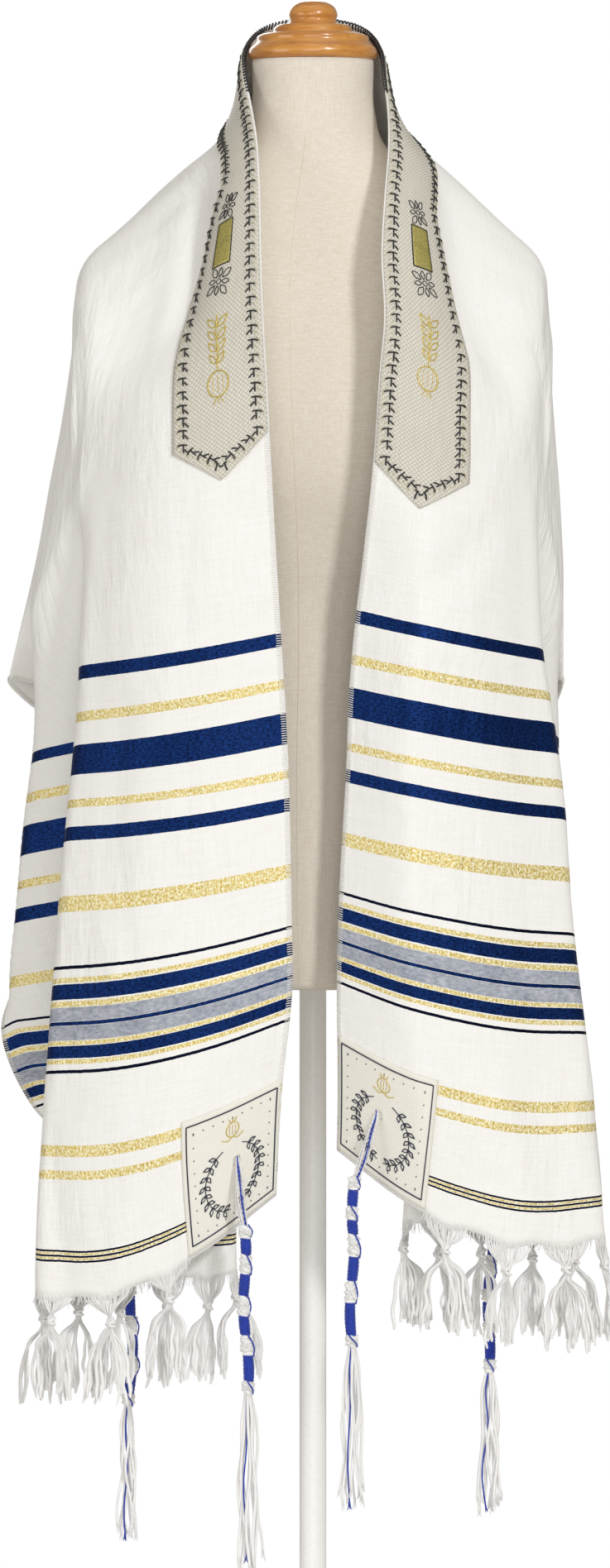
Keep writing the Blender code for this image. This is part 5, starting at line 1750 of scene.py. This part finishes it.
@dataclass
class DressForm:
    """The linen-covered torso with its sewn seams, turned cap, pole and base."""

    finish: Finishes
    rings: int = 150
    corners: int = 160
    seam_depth: float = 0.4
    seam_width: float = 2.4
    waist_width: float = 1.8
    deepest: float = 1.2
    waist: float = 834.0
    collar_height: float = 22.0
    collar_wall: float = 3.5

    def build(self) -> list[Piece]:
        """Makes the torso, its seam stitches, the cap, the base and the pole."""
        torso = dressed(self._torso(), self.finish["linen"], "linen", "dress_form_torso")
        pieces = [torso, self._seams()]
        foot = BASE_PROFILE[-1][1] + SEAM_GAP
        wide = POLE_RADIUS + self.collar_wall
        collar = foot + self.collar_height
        pole = (
            (POLE_RADIUS, foot), (wide, foot + 0.6), (wide, collar), (POLE_RADIUS, collar + 1.0),
            (POLE_RADIUS, FORM_BOTTOM - SEAM_GAP),
        )
        cap = [point[:2] for point in smooth_path([(*point, 0.0) for point in CAP_PROFILE], 90)]
        for name, profile, sides, kind, slot, replaced in (
            ("neck_cap_turned", cap, 96, "wood", "varnished_beech", "neck_cap"),
            ("stand_base_plate", BASE_PROFILE, 128, "paint", "white_painted_steel", "stand_base"),
            ("stand_pole_tube", pole, 64, "paint", "white_painted_steel", "stand_pole"),
        ):
            angles = [TURN * k / sides for k in range(sides)]
            rings = [[(radius * math.cos(a), radius * math.sin(a), z) for a in angles] for radius, z in profile]
            pieces.append(dressed(lofted(name, rings, turned=True), self.finish[kind], slot, replaced))
        return pieces

    def _point(self, angle: Array, height: float, grow: float = 0.0) -> Array:
        """Points of the torso's outline at angles from +X, grown outwards."""
        half, front, back = smooth_rows(FORM_SECTIONS, height)
        c, s = np.cos(angle), np.sin(angle)
        power = 2.0 / FORM_SQUARENESS
        depth = np.where(s > 0, back, front)
        x = np.sign(c) * np.abs(c) ** power * (half + grow)
        y = np.sign(s) * np.abs(s) ** power * (depth + grow)
        return np.stack([x, y, np.full(np.shape(angle), height)], axis=-1)

    @staticmethod
    def _seam_angles(height: float) -> tuple[float, ...]:
        """Angles of the upright seams: centre front, centre back and the two sides."""
        front = -math.pi / 2
        return (front - 0.07 - 0.03 * math.sin((height - 700.0) / 420.0), math.pi / 2, 0.0, math.pi)

    def _torso(self) -> Piece:
        """The torso, with each seam pressed in a little."""
        rings = []
        for height in np.linspace(FORM_BOTTOM, NECK_TOP, self.rings):
            angle = np.arange(self.corners) * 2 * math.pi / self.corners + 0.004
            half = smooth_rows(FORM_SECTIONS, height)[0]
            press = np.zeros(self.corners)
            for seam in self._seam_angles(height):
                off = (angle - seam + math.pi) % TURN - math.pi
                press += np.exp(-((off * half / self.seam_width) ** 2))
            press += 0.4 * math.exp(-(((height - self.waist) / self.waist_width) ** 2))
            ring = self._point(angle, height)
            inward = ring * np.array([1.0, 1.0, 0.0])
            inward /= np.maximum(np.linalg.norm(inward, axis=1, keepdims=True), 1e-6)
            rings.append(ring - inward * np.minimum(press, self.deepest)[:, None] * self.seam_depth * 0.5)
        return lofted("linen_torso", rings)

    def _seams(self) -> Piece:
        """The seams as fine ridged lines of closing stitches."""
        lines = Threads("torso_seam_threads")
        for k in range(4):
            heights = np.linspace(FORM_BOTTOM + 3.0, NECK_TOP - 60.0, 200)
            lines.lay([self._point(np.array(self._seam_angles(h)[k]), h, -0.3) for h in heights], 0.3)
        return lines.sweep(self.finish["flax"], "linen")

# The soft lights: name, place, what they face, size in metres and power.
LIGHTS = (
    ("key_window", (2.2, -3.95, 2.95), (0.0, 0.0, 0.85), 0.6, 98.0),
    ("front_fill", (-0.2, -5.2, 1.0), (0.0, 0.0, 0.6), 3.0, 54.0),
    ("left_fill", (-3.9, -2.4, 1.3), (0.0, 0.0, 0.7), 2.4, 38.0),
    ("back_fill", (-1.0, 4.4, 1.8), (0.0, 0.0, 0.8), 2.6, 60.0),
    ("top_soft", (0.3, -0.6, 3.6), (0.0, 0.0, 0.8), 2.4, 10.0),
)


@dataclass
class Studio:
    """Pale floor, soft lights and the camera."""

    centre: tuple[float, float] = (-0.0059, 0.701)
    height: float = 1.1755
    distance: float = 8.0
    room_light: float = 0.31
    room_tint: str = "FFF7EC"

    def build(self) -> None:
        """Sets the floor, world, lights and camera."""
        self._floor()
        self._world()
        for light in LIGHTS:
            self._light(*light)
        self._camera()

    def _floor(self) -> None:
        """A pale matt floor under the stand."""
        mesh = bmesh.new()
        bmesh.ops.create_grid(mesh, x_segments=2, y_segments=2, size=1.45)
        floor = piece_from("studio_floor", mesh, smooth=False)
        floor.data.materials.append(Tree("pale_floor", 0.9, Base_Color=linear("F3F3F1")).material)

    def _world(self) -> None:
        """White surroundings, warmer and dimmer as light than as background."""
        world = bpy.data.worlds.new("pale_room")
        bpy.context.scene.world = world
        world.use_nodes = True
        tree = world.node_tree
        background = tree.nodes["Background"]
        seen = add_node(tree, "ShaderNodeLightPath").outputs["Is Camera Ray"]
        amount = add_node(tree, "ShaderNodeMapRange", seen, 0.0, 1.0, self.room_light, 1.0)
        tint = add_node(tree, "ShaderNodeMix", seen, self.room_tint, "FFFFFF", data_type="RGBA")
        tree.links.new(tint.outputs[2], background.inputs["Color"])
        tree.links.new(amount.outputs[0], background.inputs["Strength"])

    def _light(self, name: str, place: Sequence[float], aim: Sequence[float], size: float, power: float) -> None:
        """A square soft light aimed at a point."""
        data = bpy.data.lights.new(name, "AREA")
        data.size = size
        data.energy = power
        light = linked(name, data)
        light.location = place
        light.visible_camera = False
        light.rotation_euler = (Vector(aim) - Vector(place)).to_track_quat("-Z", "Y").to_euler()

    def _camera(self) -> None:
        """A long lens, level, straight in front."""
        data = bpy.data.cameras.new("front_camera")
        data.sensor_fit = "VERTICAL"
        data.sensor_height = 24.0
        data.lens = data.sensor_height * self.distance / self.height
        data.dof.use_dof = False
        camera = linked("front_camera", data)
        camera.location = (self.centre[0], -self.distance, self.centre[1])
        camera.rotation_euler = (math.pi / 2, 0.0, 0.0)
        bpy.context.scene.camera = camera
        bpy.context.scene.view_settings.view_transform = "Standard"


# The long fold of each front, which turns its inner part from its outer part.
RIDGES = (
    Ridge(
        (
            (-980, 112, -2, 6, 232, -4), (-700, 112, -2, 6, 232, -4), (-520, 104, -1, 5, 225, -3),
            (-400, 110, 0, 3, 210, -1), (-300, 120, 0, 0, 200, 0),
        ),
        20.0,
    ),
    Ridge(
        (
            (430, 40, 0, 0, 110, 0), (490, 44, -11, 8, 130, 0), (560, 46, -15, 10, 140, 0),
            (680, 46, -18, 10, 140, 0), (800, 56, -19, 11, 150, 0), (900, 70, -17, 10, 160, 0),
            (980, 84, -13, 8, 170, 0),
        ),
        5.0,
    ),
)

# Shorter folds: distances along and across at the start and at the end, width, and depth.
CREASES = (
    # Left front.
    (-330, 165, -560, 195, 45, 4), (-455, 60, -540, 74, 9, -1.6), (-560, 120, -760, 150, 14, -2.2),
    (-700, 150, -800, 132, 8, 1.4), (-690, 128, -790, 118, 6, -1), (-820, 60, -990, 150, 16, 2.4),
    (-860, 190, -990, 175, 11, -2.6), (-900, 226, -990, 222, 9, 2),
    # Left shoulder.
    (-170, 120, -330, 92, 15, 4), (-200, 160, -420, 140, 24, -2), (-150, 190, -330, 230, 18, 3.2),
    # Right front.
    (460, 96, 560, 20, 16, -3.6), (640, 190, 760, 196, 7, -1.8), (600, 236, 800, 252, 9, -2),
    (860, 120, 990, 170, 15, 3), (880, 200, 990, 236, 12, -2.6),
    # Right shoulder: the trough that runs in from the shoulder point.
    (250, 180, 330, 92, 13, -4.2), (200, 150, 420, 110, 16, 2.6), (160, 200, 330, 240, 18, 3),
)

# Corner tassels: side, whether at the rear, course as drop and shift in x, drops of each winding's top
# and bottom, of the first and last knot and of the tip, spread of the loose cords, and seed.
TASSELS = (
    (-1, False, ((0, 0), (50, 3.5), (160, 6), (310, 6)), ((57, 68.5), (83, 99), (114, 128), (143, 162)),
     50.5, 169, 306, 10, 5),
    (-1, True, ((0, 0), (60, -2), (160, -4), (270, -5)), ((56, 70), (84, 98), (112, 128), (142, 156)),
     50, 163, 262, 8, 6),
    (1, False, ((0, 0), (50, -14), (80, -17), (170, -17), (290, -16)),
     ((54, 66.5), (77, 87), (104, 121.5), (138, 162)), 48, 168, 288, 11, 7),
    (1, True, ((0, 0), (60, 2), (160, -1), (290, -2)),
     ((56, 66), (75, 87), (103, 112), (122, 136), (150, 164)), 50, 171, 280, 10, 8),
)


def finishes() -> Finishes:
    """Makes every finish, by name."""
    makers = {
        "white": SpunYarn("white_yarn", "FEFEFE", "F9F8F6", 0.8, 0.3),
        "overcast": SpunYarn("white_overcast", "FAF9F6", "E6E4DE"),
        "blue": SpunYarn("blue_yarn", "0C3FC0", "082A8C", 0.55),
        "black": SpunYarn("black_thread", "1C1B1E", "0C0B0E", 0.55),
        "navy": SpunYarn("navy_thread", "232A44", "10142A", 0.6),
        # Pale straw thread that paints the hooks' shadow beside them.
        "painted_shadow": SpunYarn("painted_shadow_thread", "CFC79A", "A79F78", 0.6),
        "flax": SpunYarn("flax_thread", "D6C8AE", "C2B294"),
        "gilt": MetalThread("gilt_thread", "C2A648", "EFE08C"),
        "olive": MetalThread("olive_gold_satin", "A3984C", "C9C07A"),
        "cloth": WovenStripes(),
        "brocade": DiamondBrocade(),
        "patch": DiamondBrocade("brocade_patch", "F6F4EC", "F0EDE2", 1.6, 0.1),
        "linen": LinenCover(),
        "wood": VarnishedBeech(),
        "paint": PaintedSteel(),
    }
    return {name: maker.build() for name, maker in makers.items()}


def main() -> None:
    """Builds every piece in order and reports it."""
    finish = finishes()
    strip = Strip(RIDGES + tuple(Crease(row[:2], row[2:4], *row[4:]) for row in CREASES))
    form = DressForm(finish).build()
    shawl = Shawl(strip, finish).build()
    band = Neckband(strip, finish).build()
    trims = []
    for side in (-1, 1):
        for rear in (False, True):
            trims += CornerPatch(strip, finish, side, rear).build()
    for row in TASSELS:
        CornerTassel(strip, finish, *row).build()
    for side in (-1, 1):
        trims += KnottedFringe(strip, finish, side).build()
    Studio().build()


if __name__ == "__main__":
    main()
